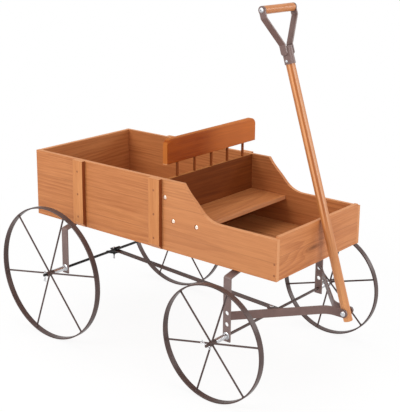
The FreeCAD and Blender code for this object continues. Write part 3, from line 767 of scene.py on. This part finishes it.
@dataclass(frozen=True)
class PlateFinish:
    """Bright zinc plate: fine spangle, dull patches and darker hollows."""

    body: Triple = (0.66, 0.67, 0.69)
    dull: Triple = (0.40, 0.40, 0.41)
    roughness: float = 0.26

    def dress(self, name: str, groups: Groups) -> bpy.types.Material:
        """Make the material.

        Args:
            name: The material's name.
            groups: The shared shader groups.

        Returns:
            The material.
        """
        sheet = Surface(name, self.body, 1.0, 0.5)
        coat = sheet.group(groups.coat, {"Dimple Size": 1600.0})
        place = sheet.node("ShaderNodeTexCoord").outputs["Object"]
        spangle = sheet.node("ShaderNodeTexVoronoi", {"Vector": place, "Scale": 900.0})
        flake = sheet.times(sheet.split(spangle.outputs["Color"])[0], 0.3)
        patch = sheet.plus(flake, sheet.times(coat["Tone"], 0.35))
        rough = sheet.plus(self.roughness, sheet.times(patch, 0.3))
        base = sheet.lay(colour(self.body), patch, 1.0, self.dull)
        return sheet.finish(base, rough, coat["Skin"], 0.08, 0.1)


@dataclass(frozen=True)
class Coating:
    """A finished material and the record's slot that it belongs to."""

    slot: Slot
    material: bpy.types.Material


class Palette:
    """The finishes that several pieces share."""

    def __init__(self) -> None:
        """Build the shared groups and materials."""
        self.groups = Groups()
        self.strap_brown = self.coating(Slot.BROWN_PAINT, "strap_brown_coat", PaintFinish())
        # A lighter copy of the brown paint: painted light on the brackets
        self.leg_painted_light = self.coating(Slot.BROWN_PAINT, "leg_painted_light_coat", PaintFinish(
            (0.158, 0.100, 0.090), (0.205, 0.138, 0.126)))
        # A darker copy of the brown paint: painted shade on the wheels, front axle, reach bar and
        # front clip
        self.rim_painted_shade = self.coating(Slot.BROWN_PAINT, "rim_painted_shade_coat", PaintFinish(
            (0.064, 0.038, 0.034), (0.092, 0.058, 0.052), (0.18, 0.125, 0.11),
            (0.22, 0.16, 0.14), 0.32, 0.4, 0.25))
        self.black = self.coating(Slot.BLACK_PAINT, "black_paint_coat", PaintFinish(
            (0.006, 0.006, 0.007), (0.011, 0.011, 0.012), (0.05, 0.05, 0.05),
            (0.12, 0.115, 0.11), 0.4, 0.2, 0.25))
        self.zinc = self.coating(Slot.ZINC_PLATE, "zinc_plate_coat", PlateFinish())
        self.warm_zinc = self.coating(Slot.ZINC_PLATE, "wood_screw_plate", PlateFinish(
            (0.97, 0.88, 0.80), (0.78, 0.62, 0.50), 0.36))
        self.nail_brown = self.coating(Slot.ZINC_PLATE, "brown_nail_heads", PaintFinish(
            (0.25, 0.085, 0.032), (0.33, 0.12, 0.05), (0.36, 0.15, 0.07),
            (0.3, 0.2, 0.15), 0.55, 0.3, 0.2))

    def coating(self, slot: Slot, name: str, finish: PaintFinish | PlateFinish) -> Coating:
        """A finish made into a material for a slot."""
        return Coating(slot, finish.dress(name, self.groups))


def paint_nodes(material: bpy.types.Material, *names: str) -> None:
    """Give all material slots of some CAD nodes one material.

    Args:
        material: The material.
        names: The nodes.
    """
    for name in names:
        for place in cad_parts[name].material_slots:
            place.material = material
        LOG.info("finished CAD node %s with %s", name, material.name)


def fit_piece(name: str, shells: list[Shell], body: str, coating: Coating, *stands_for: str,
              crisp: float = 40.0) -> None:
    """Build a new piece, dress it and tie it to its body.

    Args:
        name: The piece's name.
        shells: Its surfaces.
        body: The CAD body that it rides on.
        coating: Its finish, with the slot that it belongs to.
        stands_for: The CAD nodes that it replaces.
        crisp: Edges sharper than this many degrees stay crisp.
    """
    piece = made_object(name, shells, crisp)
    piece.data.materials.append(coating.material)
    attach(piece, body)
    if stands_for:
        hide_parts(*stands_for)
    LOG.info("built %s on %s", name, body)


# Hardware


class RoundPiece:
    """A small piece with a closed surface around an axis."""

    def outline(self) -> tuple[np.ndarray, np.ndarray]:
        """Radii and heights in millimetres, each of shape (rows, columns)."""
        raise NotImplementedError

    def shell(self, base: Triple, axis: Triple) -> Shell:
        """The piece's surface, with its heights counted from a base in metres along an axis."""
        return turned(*self.outline(), base, axis)


@dataclass(frozen=True)
class DomedScrew(RoundPiece):
    """A round-headed screw with a cross recess, in millimetres.

    The rim is the upright part of the head's height. The recess's figures are shares of the
    head's radius: half a slot's width, the slope of its walls, its reach and its ends' slope.
    """

    head_radius: float
    head_height: float
    shank_radius: float
    shank_length: float
    recess: float = 0.34
    turn: float = 0.4
    rim: float = 0.28
    slot_figures: tuple[float, float, float, float] = (0.17, 0.08, 0.62, 0.25)

    def slot(self, along: np.ndarray, side: np.ndarray) -> np.ndarray:
        """Depth share of one slot: 1 inside, sloping to 0 at its walls and ends."""
        half_width, wall, reach, end = self.slot_figures
        return (np.clip((half_width - np.abs(side)) / wall, 0, 1)
                * np.clip((reach - np.abs(along)) / end, 0, 1))

    def outline(self) -> tuple[np.ndarray, np.ndarray]:
        """The outline from the tip of the shank to the top of the head.

        The head is an upright rim and then a dome: height = head_height * (rim + (1 - rim) *
        sqrt(1 - share^2)), where share is the distance from the axis over the head's radius.
        Two crossed slots with sloping walls are taken from it. The shank is a plain rod with
        a pointed end.

        Returns:
            Radii and heights in millimetres.
        """
        columns = 48
        share = np.concatenate([[1.0], np.cos(np.linspace(0.12, 0.5 * np.pi - 0.01, 18))])[:, None]
        dome = self.head_height * (self.rim + (1 - self.rim) * np.sqrt(np.clip(1 - share**2, 0, 1)))
        angle = ring_angles(columns) + self.turn
        east, north = share * np.cos(angle), share * np.sin(angle)
        sunk = np.maximum(self.slot(east, north), self.slot(north, east))
        head_height = dome - self.head_height * 2 * self.recess * sunk
        radius, height = profile((
            (0.05, -self.shank_length), (self.shank_radius, -self.shank_length * 0.82),
            (self.shank_radius, 0.0), (self.head_radius * 0.97, 0.0)), columns)
        head_radius = self.head_radius * share * np.ones(columns)
        return np.concatenate([radius, head_radius]), np.concatenate([height, head_height])


@dataclass(frozen=True)
class HexNut(RoundPiece):
    """A hexagonal nut with chamfered corners, on a round flange where it has one, in millimetres.

    The chamfer is the height over which the corners are cut, by a cone that widens by its slope
    from a share of half the flats' distance.
    """

    across_flats: float
    height: float
    bore: float
    flange_radius: float = 0.0
    flange_height: float = 0.0
    turn: float = 0.0
    chamfer: float = 0.9
    cone_share: float = 0.94
    cone_slope: float = 1.7

    def outline(self) -> tuple[np.ndarray, np.ndarray]:
        """The outline from the seat to the mouth of the bore.

        At each angle the radius is that of a hexagon, half the flats' distance over the cosine
        of the angle from the nearest flat, cut by a cone at the top and, without a flange, at
        the base. The flange slopes up to the hexagon. A countersink leads into the bore.

        Returns:
            Radii and heights in millimetres.
        """
        columns = 96
        half = self.across_flats / 2
        angle = ring_angles(columns) + self.turn
        hexagon = half / np.cos((angle % (np.pi / 3)) - np.pi / 6)
        levels = np.concatenate([np.linspace(0, self.chamfer, 6),
                                 np.linspace(self.height - self.chamfer, self.height, 8)])[:, None]
        above = half * self.cone_share + self.cone_slope * (self.height - levels)
        below = np.inf if self.flange_radius else half * self.cone_share + self.cone_slope * levels
        body = np.minimum(hexagon, np.minimum(above, below))
        parts = [(body, (self.flange_height + levels) * np.ones(columns))]
        if self.flange_radius:
            parts.insert(0, profile((
                (self.flange_radius * 0.985, 0.0), (self.flange_radius, 0.12),
                (self.flange_radius, 0.45), (self.flange_radius * 0.97, 0.62)), columns))
        top = self.flange_height + self.height
        parts.append(profile(((self.bore + 0.55, top), (self.bore, top - 0.45),
                              (self.bore, top - 0.8)), columns))
        radii, heights = zip(*parts)
        return np.concatenate(radii), np.concatenate(heights)


@dataclass(frozen=True)
class ThreadedRod(RoundPiece):
    """A rod with a thread after its plain stretch, in millimetres, and a bevelled tip."""

    radius: float
    length: float
    plain: float
    pitch: float = 0.8
    depth: float = 0.34
    tip: float = 0.7

    def outline(self) -> tuple[np.ndarray, np.ndarray]:
        """The outline from the start to the tip.

        Radius = rod radius - depth * |2 * fraction(height / pitch - angle / turn) - 1|, which is
        a triangular thread, fading out on the plain stretch and at a short bevel at the tip.

        Returns:
            Radii and heights in millimetres.
        """
        columns = 28
        rows = max(int(self.length / self.pitch * 8), 8)
        height = np.linspace(0, self.length, rows)[:, None]
        turn = np.arange(columns) / columns
        wave = np.abs(2 * ((height / self.pitch - turn) % 1.0) - 1)
        cut = np.clip((height - self.plain) / self.pitch, 0, 1)
        bevel = np.clip((height - self.length + self.tip) / self.tip, 0, 1) * 0.3 * self.radius
        radius = np.minimum(self.radius - self.depth * wave * cut, self.radius - bevel)
        return radius, height * np.ones(columns)


@dataclass(frozen=True)
class WeldCollar(RoundPiece):
    """The bead where a spoke meets a rim or hub, in millimetres, sunk a little into it."""

    spread: float = 1.5
    height: float = 2.3
    seed: float = 0.0
    spoke_radius: float = 1.6
    cover: float = 0.04
    sink: float = 0.25

    def outline(self) -> tuple[np.ndarray, np.ndarray]:
        """The outline from the foot of the bead up the spoke.

        Radius = spoke radius + spread * (1 - share)^2, widened and narrowed round the spoke by
        two sines, so that each bead is a little uneven.

        Returns:
            Radii and heights in millimetres.
        """
        share = np.linspace(0, 1, 8)[:, None]
        angle = ring_angles(20)
        uneven = (1 + 0.18 * np.sin(2 * angle + self.seed)
                  + 0.12 * np.sin(3 * angle + 2.3 * self.seed))
        radius = self.spoke_radius + self.cover + self.spread * (1 - share) ** 2 * uneven
        return radius, (share * self.height - self.sink) * (0.85 + 0.15 * uneven)


# Sub-assemblies


@dataclass
class Wheel:
    """A wire wheel: rolled rim, six spokes and a tube hub, welded together."""

    end: str
    hand: str
    radius: float
    phase: float
    palette: Palette
    rim_thickness: float = 2.5
    hub_radius: float = 4.2
    spoke_count: int = 6

    def welds(self) -> list[Shell]:
        """Weld beads at both ends of every spoke.

        Returns:
            The beads' shells.
        """
        axle = LAYOUT.front_axle if self.end == "front" else LAYOUT.rear_axle
        side = -LAYOUT.track if self.hand == "right" else LAYOUT.track
        middle = np.array([axle[0], side, axle[2]])
        shells = []
        for index in range(self.spoke_count):
            angle = math.radians(self.phase + 360.0 / self.spoke_count * index)
            out = np.array([math.cos(angle), 0.0, math.sin(angle)])
            rim = middle + out * (self.radius - self.rim_thickness) * MM
            hub = middle + out * self.hub_radius * MM
            shells.append(WeldCollar(seed=index + self.phase).shell(rim, -out))
            shells.append(WeldCollar(0.8, 1.7, 2 * index).shell(hub, out))
        return shells

    def build(self) -> None:
        """Finish the CAD wheel and add its weld beads."""
        name, brown = f"{self.end}_{self.hand}", self.palette.rim_painted_shade
        paint_nodes(brown.material, *(f"{part}_{name}" for part in ("rim", "hub", "spokes")))
        fit_piece(f"spoke_welds_{name}", self.welds(), f"wheel_{name}", brown, crisp=60.0)


@dataclass
class Bed:
    """The wooden bed: sides, ends, floor, seat, divider, battens and backrest."""

    palette: Palette
    board_wood: WoodFinish = WoodFinish()
    # The battens' darker narrow sides are painted shade
    batten_wood: WoodFinish = WoodFinish(
        (0.665, 0.296, 0.112), (0.34, 0.105, 0.03), painted_side_shade=0.92, side_shade_tint=(0.19, 0.034, 0.003),
        ring_strength=0.3, streak_strength=0.36, gloss=0.16)
    # The rail's pale corner colour is a painted highlight along its edges
    red_wood: WoodFinish = WoodFinish(
        (0.455, 0.098, 0.003), (0.142, 0.018, 0.0003), (0.50, 0.16, 0.03), (0.95, 0.56, 0.30),
        ring_strength=0.4, streak_strength=0.62, tone_strength=0.65, corner_strength=1.0,
        corner_radius=0.0024, roughness=0.4, gloss=0.1)
    # The divider's wood is darkened with painted shade, and its pale corner colour is a painted
    # highlight on its top edge
    divider_painted_shade_wood: WoodFinish = WoodFinish(
        (0.22, 0.056, 0.012), (0.080, 0.016, 0.003), (0.55, 0.20, 0.05), (0.70, 0.28, 0.09),
        ring_strength=0.4, roughness=0.5, gloss=0.08)
    slim_wood: WoodFinish = WoodFinish(
        (0.25, 0.062, 0.012), (0.10, 0.02, 0.003), (0.3, 0.08, 0.02), (0.42, 0.15, 0.05),
        roughness=0.4, gloss=0.1)
    screw_places: tuple[tuple[float, float], ...] = ((31.28, 309.0), (50.28, 270.0),
                                                     (101.68, 270.0))
    batten_middles: tuple[tuple[str, float], ...] = (("rear", 175.2), ("middle", -12.6))
    batten_face: float = 135.5

    def cuts(self) -> dict[str, tuple[WoodFinish, Cut]]:
        """How each board was cut, and from which wood.

        Returns:
            The wood and the cut, by CAD node.
        """
        wood = self.board_wood
        cuts = {
            # The near side panel's fade is painted light, paler towards its front end
            "side_panel_right": (wood, Cut(
                Grain.LONG_SIDE, (-40.0, -245.0, 127.5), 4.6, 44.0, 0.012, plank=51.0,
                fade=Fade((0.62, 0.28, 0.122), 0.25, -25.0, 40.0))),
            "side_panel_left": (wood, Cut(
                Grain.LONG_SIDE, (510.0, -245.0, -127.5), 5.0, 40.0, 0.012, plank=51.0)),
            "front_panel": (wood, Cut(
                Grain.CROSS_BOARD, (60.0, -254.0, -266.8), 4.0, 36.0, 0.04, (40.0, -9.0, 0.0),
                49.0)),
            "rear_panel": (wood, Cut(
                Grain.CROSS_BOARD, (-310.0, -262.0, 295.2), 4.8, 40.0, -0.04, plank=48.0)),
            "seat_board": (wood, Cut(Grain.SEAT, (520.0, -73.3, -274.0), plank=39.0)),
            "divider_panel": (self.divider_painted_shade_wood, Cut(
                Grain.CROSS_BOARD, (-90.0, -262.0, -34.0), plank=58.0)),
            "backrest_rail": (self.red_wood, Cut(
                Grain.CROSS_BOARD, (150.0, -360.0, -36.3), 3.2, 30.0, 0.035, plank=60.0,
                fade=Fade((0.73, 0.225, 0.055), 0.42, -50.0, 45.0))),
        }
        for index, hand in enumerate(("right", "middle", "left")):
            cuts[f"floor_board_{hand}"] = (wood, Cut(
                Grain.FLOOR, (300.0 * index, 81.0 - 80.5 * index, -222.0), 4.4, 36.0 - 6 * index,
                0.03, plank=80.0))
        for row, (place, middle) in enumerate(self.batten_middles):
            for column, (hand, side) in enumerate((("right", 1), ("left", -1))):
                index = 2 * row + column
                cuts[f"batten_{place}_{hand}"] = (self.batten_wood, Cut(
                    Grain.UPRIGHT, (170.0 * index, middle + 30.0, side * self.batten_face), 3.2,
                    24.0 + 4 * index, 0.05, plank=60.0))
        return cuts

    def build(self) -> None:
        """Finish the boards, spindles and nails and build the wood screws."""
        for node, (wood, cut) in self.cuts().items():
            paint_nodes(wood.dress(f"{node}_wood", self.palette.groups, cut), node)
        spindle = self.slim_wood.dress("spindle_wood", self.palette.groups, Cut(
            Grain.UPRIGHT, (0.0, 20.0, 0.0), 2.2, 12.0, plank=90.0))
        paint_nodes(spindle, *(f"backrest_spindle_{index + 1}" for index in range(5)))
        shells = []
        for side, outward in SIDES:
            for index, (x, z) in enumerate(self.screw_places):
                screw = DomedScrew(3.7, 1.4, 1.5, 14.0, turn=0.7 * index + 0.2 * side)
                shells.append(screw.shell((x * MM, side * LAYOUT.side_recess, z * MM), outward))
        fit_piece("side_screws_domed", shells, "cart", self.palette.warm_zinc, "side_screws")
        paint_nodes(self.palette.nail_brown.material, "nails")


@dataclass
class Undercarriage:
    """Brackets, axles, spacers, nuts, pins and the pull handle's fork."""

    palette: Palette
    bracket_screws: tuple[tuple[float, float], ...] = ((179.48, 70.0), (179.48, -70.0),
                                                       (-207.92, 70.0), (-207.92, -70.0))

    def axle_hardware(self) -> None:
        """Build the flanged nuts against the brackets' legs."""
        nut = HexNut(9.0, 4.5, 2.5, 6.5, 1.5)
        shells = [nut.shell((axle[0], side * LAYOUT.leg_face, axle[2]), outward)
                  for axle in (LAYOUT.front_axle, LAYOUT.rear_axle) for side, outward in SIDES]
        fit_piece("axle_nuts_flanged", shells, "cart", self.palette.zinc, "axle_nuts")

    def bracket_hardware(self) -> None:
        """Build the screws that hold the brackets under the floor."""
        shells = [DomedScrew(4.0, 2.2, 2.0, 9.4, turn=0.9 * index).shell(
            (x * MM, y * MM, LAYOUT.under_bracket), Turned.DOWN.value)
            for index, (x, y) in enumerate(self.bracket_screws)]
        fit_piece("bracket_screws_domed", shells, "cart", self.palette.zinc, "bracket_screws")

    def pivot_hardware(self) -> None:
        """Build the bolt and nut that the pull handle turns on."""
        x, _, z = LAYOUT.pivot
        seat, far = (x, -LAYOUT.fork_face, z), (x, LAYOUT.fork_face, z)
        head = DomedScrew(4.8, 2.8, 3.0, 4.0, 0.0).shell(seat, Turned.RIGHT.value)
        rod = ThreadedRod(3.0, 27.9, 18.0, 1.0, 0.42).shell(seat, Turned.LEFT.value)
        fit_piece("pivot_bolt_threaded", [head, rod], "cart", self.palette.zinc, "pivot_bolt")
        nut = HexNut(10.0, 4.5, 3.0, turn=math.radians(30)).shell(far, Turned.LEFT.value)
        fit_piece("pivot_nut_bevelled", [nut], "cart", self.palette.black, "pivot_nut")

    def build(self) -> None:
        """Finish the steelwork and build its hardware."""
        palette = self.palette
        paint_nodes(palette.leg_painted_light.material, "front_bracket", "rear_bracket")
        paint_nodes(palette.strap_brown.material, "fork_strap_right", "fork_strap_left")
        paint_nodes(palette.rim_painted_shade.material, "front_axle")
        paint_nodes(palette.black.material, "rear_axle")
        paint_nodes(palette.zinc.material, "axle_spacers", "split_pins")
        self.axle_hardware()
        self.bracket_hardware()
        self.pivot_hardware()


@dataclass
class ReachGear:
    """The bar between the axles, its two clips, their bolts, the nut and the wing nut."""

    palette: Palette
    clip_screw: float = -8.6
    wing_turn: float = math.radians(47.0)
    wing_root: float = 2.2
    wing_span: float = 14.8
    wing_top: float = -5.4
    wing_foot: float = -12.9
    foot_rise: float = 2.3
    wing_half: float = 1.5
    wing_taper: float = 0.25
    boss: tuple[tuple[float, float], ...] = (
        (3.8, 0.0), (3.8, 4.6), (3.6, 6.4), (3.2, 8.0), (2.7, 8.8), (2.3, 9.0), (2.05, 8.4))

    def place(self, axle: Triple, rise: float) -> Triple:
        """A point at the clip's bolt, above the sloping bar at an axle, in millimetres."""
        cosine, sine = math.cos(LAYOUT.reach_slope), -math.sin(LAYOUT.reach_slope)
        return (axle[0] + (self.clip_screw * cosine - rise * sine) * MM, 0.0,
                axle[2] + (self.clip_screw * sine + rise * cosine) * MM)

    def square(self, side: int) -> Triple:
        """The direction square to the bar, upward for 1 and downward for -1."""
        return (side * math.sin(LAYOUT.reach_slope), 0.0, side * math.cos(LAYOUT.reach_slope))

    def wing(self, side: int) -> Shell:
        """One wing of the wing nut.

        Across the span the section is a rounded oblong. Its top stays level, its foot rises
        towards the tip, and its height closes as the root of (1 - share^7) into a round ear.

        Args:
            side: 1 for the wing that points ahead and left, -1 for the other.

        Returns:
            The shell.
        """
        share = np.linspace(0, 1, 26)
        span = self.wing_root + share * self.wing_span
        foot = self.wing_foot + self.foot_rise * share**0.9
        close = np.sqrt(np.clip(1 - share**7, 0, 1))
        middle, swell = (self.wing_top + foot) / 2, (self.wing_top - foot) / 2
        thick = (self.wing_half - self.wing_taper * share) * np.clip(close * 1.25, 0.02, 1)
        cosine, sine = np.cos(ring_angles(24)), np.sin(ring_angles(24))
        lobe_thick = np.sign(cosine) * np.abs(cosine) ** 0.7
        lobe_high = np.sign(sine) * np.abs(sine) ** 0.8
        out = np.array([math.cos(self.wing_turn), math.sin(self.wing_turn), 0.0]) * side
        across = np.array([-math.sin(self.wing_turn), math.cos(self.wing_turn), 0.0]) * side
        rings = (span[:, None, None] * out + (thick[:, None] * lobe_thick)[..., None] * across
                 + (middle[:, None] + (swell * close)[:, None] * lobe_high)[..., None]
                 * np.array(self.square(1)))
        return closed_tube(np.array(self.place(LAYOUT.rear_axle, 0.0)) + rings * MM)

    def rear_fastening(self) -> None:
        """Build the bolt down through the rear clip and bar, and the wing nut under them."""
        up, down = self.square(1), self.square(-1)
        seat, under = (self.place(LAYOUT.rear_axle, rise) for rise in (-0.6, -4.6))
        head = DomedScrew(3.4, 2.4, 2.0, 2.0).shell(seat, up)
        rod = ThreadedRod(2.0, 22.9, 4.0).shell(seat, down)
        fit_piece("wing_bolt_threaded", [head, rod], "cart", self.palette.zinc, "wing_bolt")
        boss = turned(*profile(self.boss, 32), under, down)
        shells = [boss, self.wing(1), self.wing(-1)]
        fit_piece("wing_nut_cast", shells, "cart", self.palette.black, "wing_nut", crisp=50.0)

    def front_fastening(self) -> None:
        """Build the bolt down through the front clip and its nut."""
        up, down = self.square(1), self.square(-1)
        seat, under = (self.place(LAYOUT.front_axle, rise) for rise in (4.6, 0.6))
        head = DomedScrew(4.0, 2.8, 2.0, 2.0).shell(seat, up)
        rod = ThreadedRod(2.0, 8.2, 2.0).shell(seat, down)
        fit_piece("reach_bolt_threaded", [head, rod], "cart", self.palette.zinc, "reach_bolt")
        nut = HexNut(7.0, 3.2, 2.0).shell(under, down)
        fit_piece("reach_nut_bevelled", [nut], "cart", self.palette.zinc, "reach_bolt_nut")

    def build(self) -> None:
        """Finish the bar and clips and build the fastenings."""
        paint_nodes(self.palette.rim_painted_shade.material, "reach_bar", "reach_front_clip")
        paint_nodes(self.palette.black.material, "reach_rear_clip")
        self.front_fastening()
        self.rear_fastening()


@dataclass
class PullHandle:
    """The pole, its steel sleeve, the yoke of two straps and the cross grip."""

    palette: Palette
    wood: WoodFinish = WoodFinish(
        (0.68, 0.285, 0.090), (0.28, 0.070, 0.014), (0.5, 0.2, 0.08), (0.62, 0.30, 0.13),
        streak_strength=0.75, tone_strength=0.3, roughness=0.34, gloss=0.2, coat=0.22)
    grip_height: float = 516.0
    grip_end: float = 45.1
    sleeve_screw: tuple[float, float] = (428.0, -9.25)

    def point(self, along: float, side: float) -> Triple:
        """A point along the pole and to its left, in millimetres from the pivot."""
        lean, (x, _, z) = LAYOUT.handle_lean, LAYOUT.pivot
        return (x - along * math.sin(lean) * MM, side * MM, z + along * math.cos(lean) * MM)

    def build(self) -> None:
        """Finish the handle and build its screws."""
        groups, lean, pivot = self.palette.groups, LAYOUT.handle_lean, LAYOUT.pivot
        paint_nodes(self.wood.dress("handle_pole_wood", groups, Cut(
            Grain.UPRIGHT, (0.0, 40.0, 0.0), 5.0, 7.0, 0.012, plank=90.0, lean=lean, about=pivot,
            fade=Fade((0.76, 0.38, 0.17), 0.4, 190.0, 60.0), painted_reflection=PaintedPoleReflection())), "handle_pole")
        paint_nodes(self.wood.dress("handle_grip_wood", groups, Cut(
            Grain.SEAT, (90.0, 40.0, -self.grip_height), 2.8, 12.0, 0.05, plank=90.0, lean=lean,
            about=pivot)), "handle_grip")
        paint_nodes(self.palette.strap_brown.material, "handle_sleeve", "yoke_strap_right",
                    "yoke_strap_left")
        screw = DomedScrew(2.4, 1.4, 1.4, 7.0).shell(self.point(*self.sleeve_screw),
                                                     Turned.RIGHT.value)
        fit_piece("sleeve_screw_domed", [screw], "handle", self.palette.zinc, "sleeve_screw")
        ends = [DomedScrew(4.4, 2.4, 2.0, 24.0, turn=0.5 * side).shell(
            self.point(self.grip_height, side * self.grip_end), outward) for side, outward in SIDES]
        fit_piece("grip_screws_domed", ends, "handle", self.palette.zinc, "grip_screws")


# Studio


@dataclass(frozen=True)
class SoftLamp:
    """A square soft box, aimed at the middle of the bed."""

    name: str
    place: Triple
    size: float
    power: float
    aim: Triple = (0.0, 0.0, 0.25)

    def hang(self) -> None:
        """Put the lamp in the scene."""
        data = bpy.data.lights.new(self.name, "AREA")
        data.shape, data.size, data.energy = "SQUARE", self.size, self.power
        lamp = link_object(self.name, data)
        lamp.location = self.place
        aim = Vector(self.aim) - Vector(self.place)
        lamp.rotation_euler = aim.to_track_quat("-Z", "Y").to_euler()


@dataclass(frozen=True)
class PhotoCamera:
    """The photograph's camera, as found from the object's corners."""

    place: Triple = (1.0882926, -1.3217062, 0.7802396)
    yaw: float = 0.6832
    pitch: float = 0.2558
    roll: float = 0.0094
    focal_pixels: float = 971.82
    middle: tuple[float, float] = (203.41, 166.98)
    frame_size: tuple[int, int] = (400, 412)
    sensor: float = 36.0

    def mount(self) -> None:
        """Make the scene's camera."""
        ahead = Vector((-math.sin(self.yaw) * math.cos(self.pitch),
                        math.cos(self.yaw) * math.cos(self.pitch), -math.sin(self.pitch)))
        level = Vector((math.cos(self.yaw), math.sin(self.yaw), 0.0))
        rise = level.cross(ahead)
        cosine, sine = math.cos(self.roll), math.sin(self.roll)
        right = cosine * level + sine * rise
        up = -sine * level + cosine * rise
        width, height = self.frame_size
        longest = max(width, height)
        data = bpy.data.cameras.new("photo_camera")
        data.sensor_width = self.sensor
        data.lens = self.focal_pixels * self.sensor / longest
        data.shift_x = (width / 2 - self.middle[0]) / longest
        data.shift_y = (self.middle[1] - height / 2) / longest
        data.clip_start, data.clip_end = 0.02, 60.0
        camera = link_object("photo_camera", data)
        turn = Matrix((right, up, -ahead)).transposed()
        camera.matrix_world = Matrix.Translation(self.place) @ turn.to_4x4()
        bpy.context.scene.camera = camera


@dataclass(frozen=True)
class Studio:
    """A white floor, an even white world and soft boxes."""

    floor_half: float = 6.0
    ambient: float = 0.5
    shadow_share: float = 0.11
    shadow_reach: tuple[float, float] = (1.05, 0.55)
    white: Triple = (1.0, 1.0, 1.0)
    paper: Triple = (0.95, 0.95, 0.95)
    lamps: tuple[SoftLamp, ...] = (
        SoftLamp("key_box", (-0.8, -2.3, 1.5), 1.3, 39.0),
        SoftLamp("front_box", (2.6, -0.3, 1.3), 1.4, 26.0),
        SoftLamp("far_box", (1.7, 2.1, 1.1), 0.9, 16.0),
        SoftLamp("top_box", (-0.4, 0.3, 2.8), 2.0, 22.0))

    def background_share(self, sheet: Sheet) -> Socket:
        """A mask of the rays that see white: the camera's, mirrored and transmitted ones.

        Args:
            sheet: The sheet to write in.

        Returns:
            1 for those rays, 0 for the others.
        """
        path = sheet.node("ShaderNodeLightPath").outputs
        seen = sheet.math("MAXIMUM", path["Is Camera Ray"], path["Is Glossy Ray"])
        return sheet.math("MAXIMUM", seen, path["Is Transmission Ray"])

    def lay_floor(self) -> None:
        """Lay a white floor that keeps a faint shadow."""
        half = self.floor_half
        corners = [(-half, -half, 0.0), (half, -half, 0.0), (half, half, 0.0), (-half, half, 0.0)]
        mesh = bpy.data.meshes.new("studio_floor")
        mesh.from_pydata(corners, [], [(0, 1, 2, 3)])
        floor = link_object("studio_floor", mesh)
        material = bpy.data.materials.new("studio_white")
        sheet = Sheet(cleared_tree(material))
        paper = sheet.node("ShaderNodeBsdfDiffuse", {"Color": colour(self.paper)})
        glow = sheet.node("ShaderNodeEmission", {"Color": colour(self.white), "Strength": 1.0})
        away = sheet.measure("LENGTH", sheet.node("ShaderNodeTexCoord").outputs["Object"])
        shaded = sheet.times(sheet.smooth(away, *self.shadow_reach), self.shadow_share)
        share = sheet.times(self.background_share(sheet), sheet.minus(1.0, shaded))
        mixed = sheet.node("ShaderNodeMixShader",
                           {0: share, 1: paper.outputs[0], 2: glow.outputs[0]})
        sheet.node("ShaderNodeOutputMaterial", {"Surface": mixed.outputs[0]})
        mesh.materials.append(material)

    def light_world(self) -> None:
        """Fill the world with an even light, white where it is seen."""
        world = bpy.data.worlds.new("studio_world")
        sheet = Sheet(cleared_tree(world))
        level = sheet.node("ShaderNodeMapRange", {"Value": self.background_share(sheet),
                                                  "To Min": self.ambient, "To Max": 1.0})
        glow = sheet.node("ShaderNodeBackground", {"Color": colour(self.white),
                                                   "Strength": level.outputs["Result"]})
        sheet.node("ShaderNodeOutputWorld", {"Surface": glow.outputs[0]})
        bpy.context.scene.world = world

    def build(self) -> None:
        """Set the floor, the world, the lamps and the camera."""
        self.lay_floor()
        self.light_world()
        for lamp in self.lamps:
            lamp.hang()
        PhotoCamera().mount()
        bpy.context.scene.view_settings.view_transform = "Standard"
        LOG.info("studio set")


def main() -> None:
    """Build the cart's looks in order."""
    logging.basicConfig(level=logging.INFO, format="%(message)s")
    Studio().build()
    palette = Palette()
    Bed(palette).build()
    Undercarriage(palette).build()
    ReachGear(palette).build()
    for wheel in WHEELS:
        Wheel(*wheel, palette).build()
    PullHandle(palette).build()


if __name__ == "__main__":
    main()
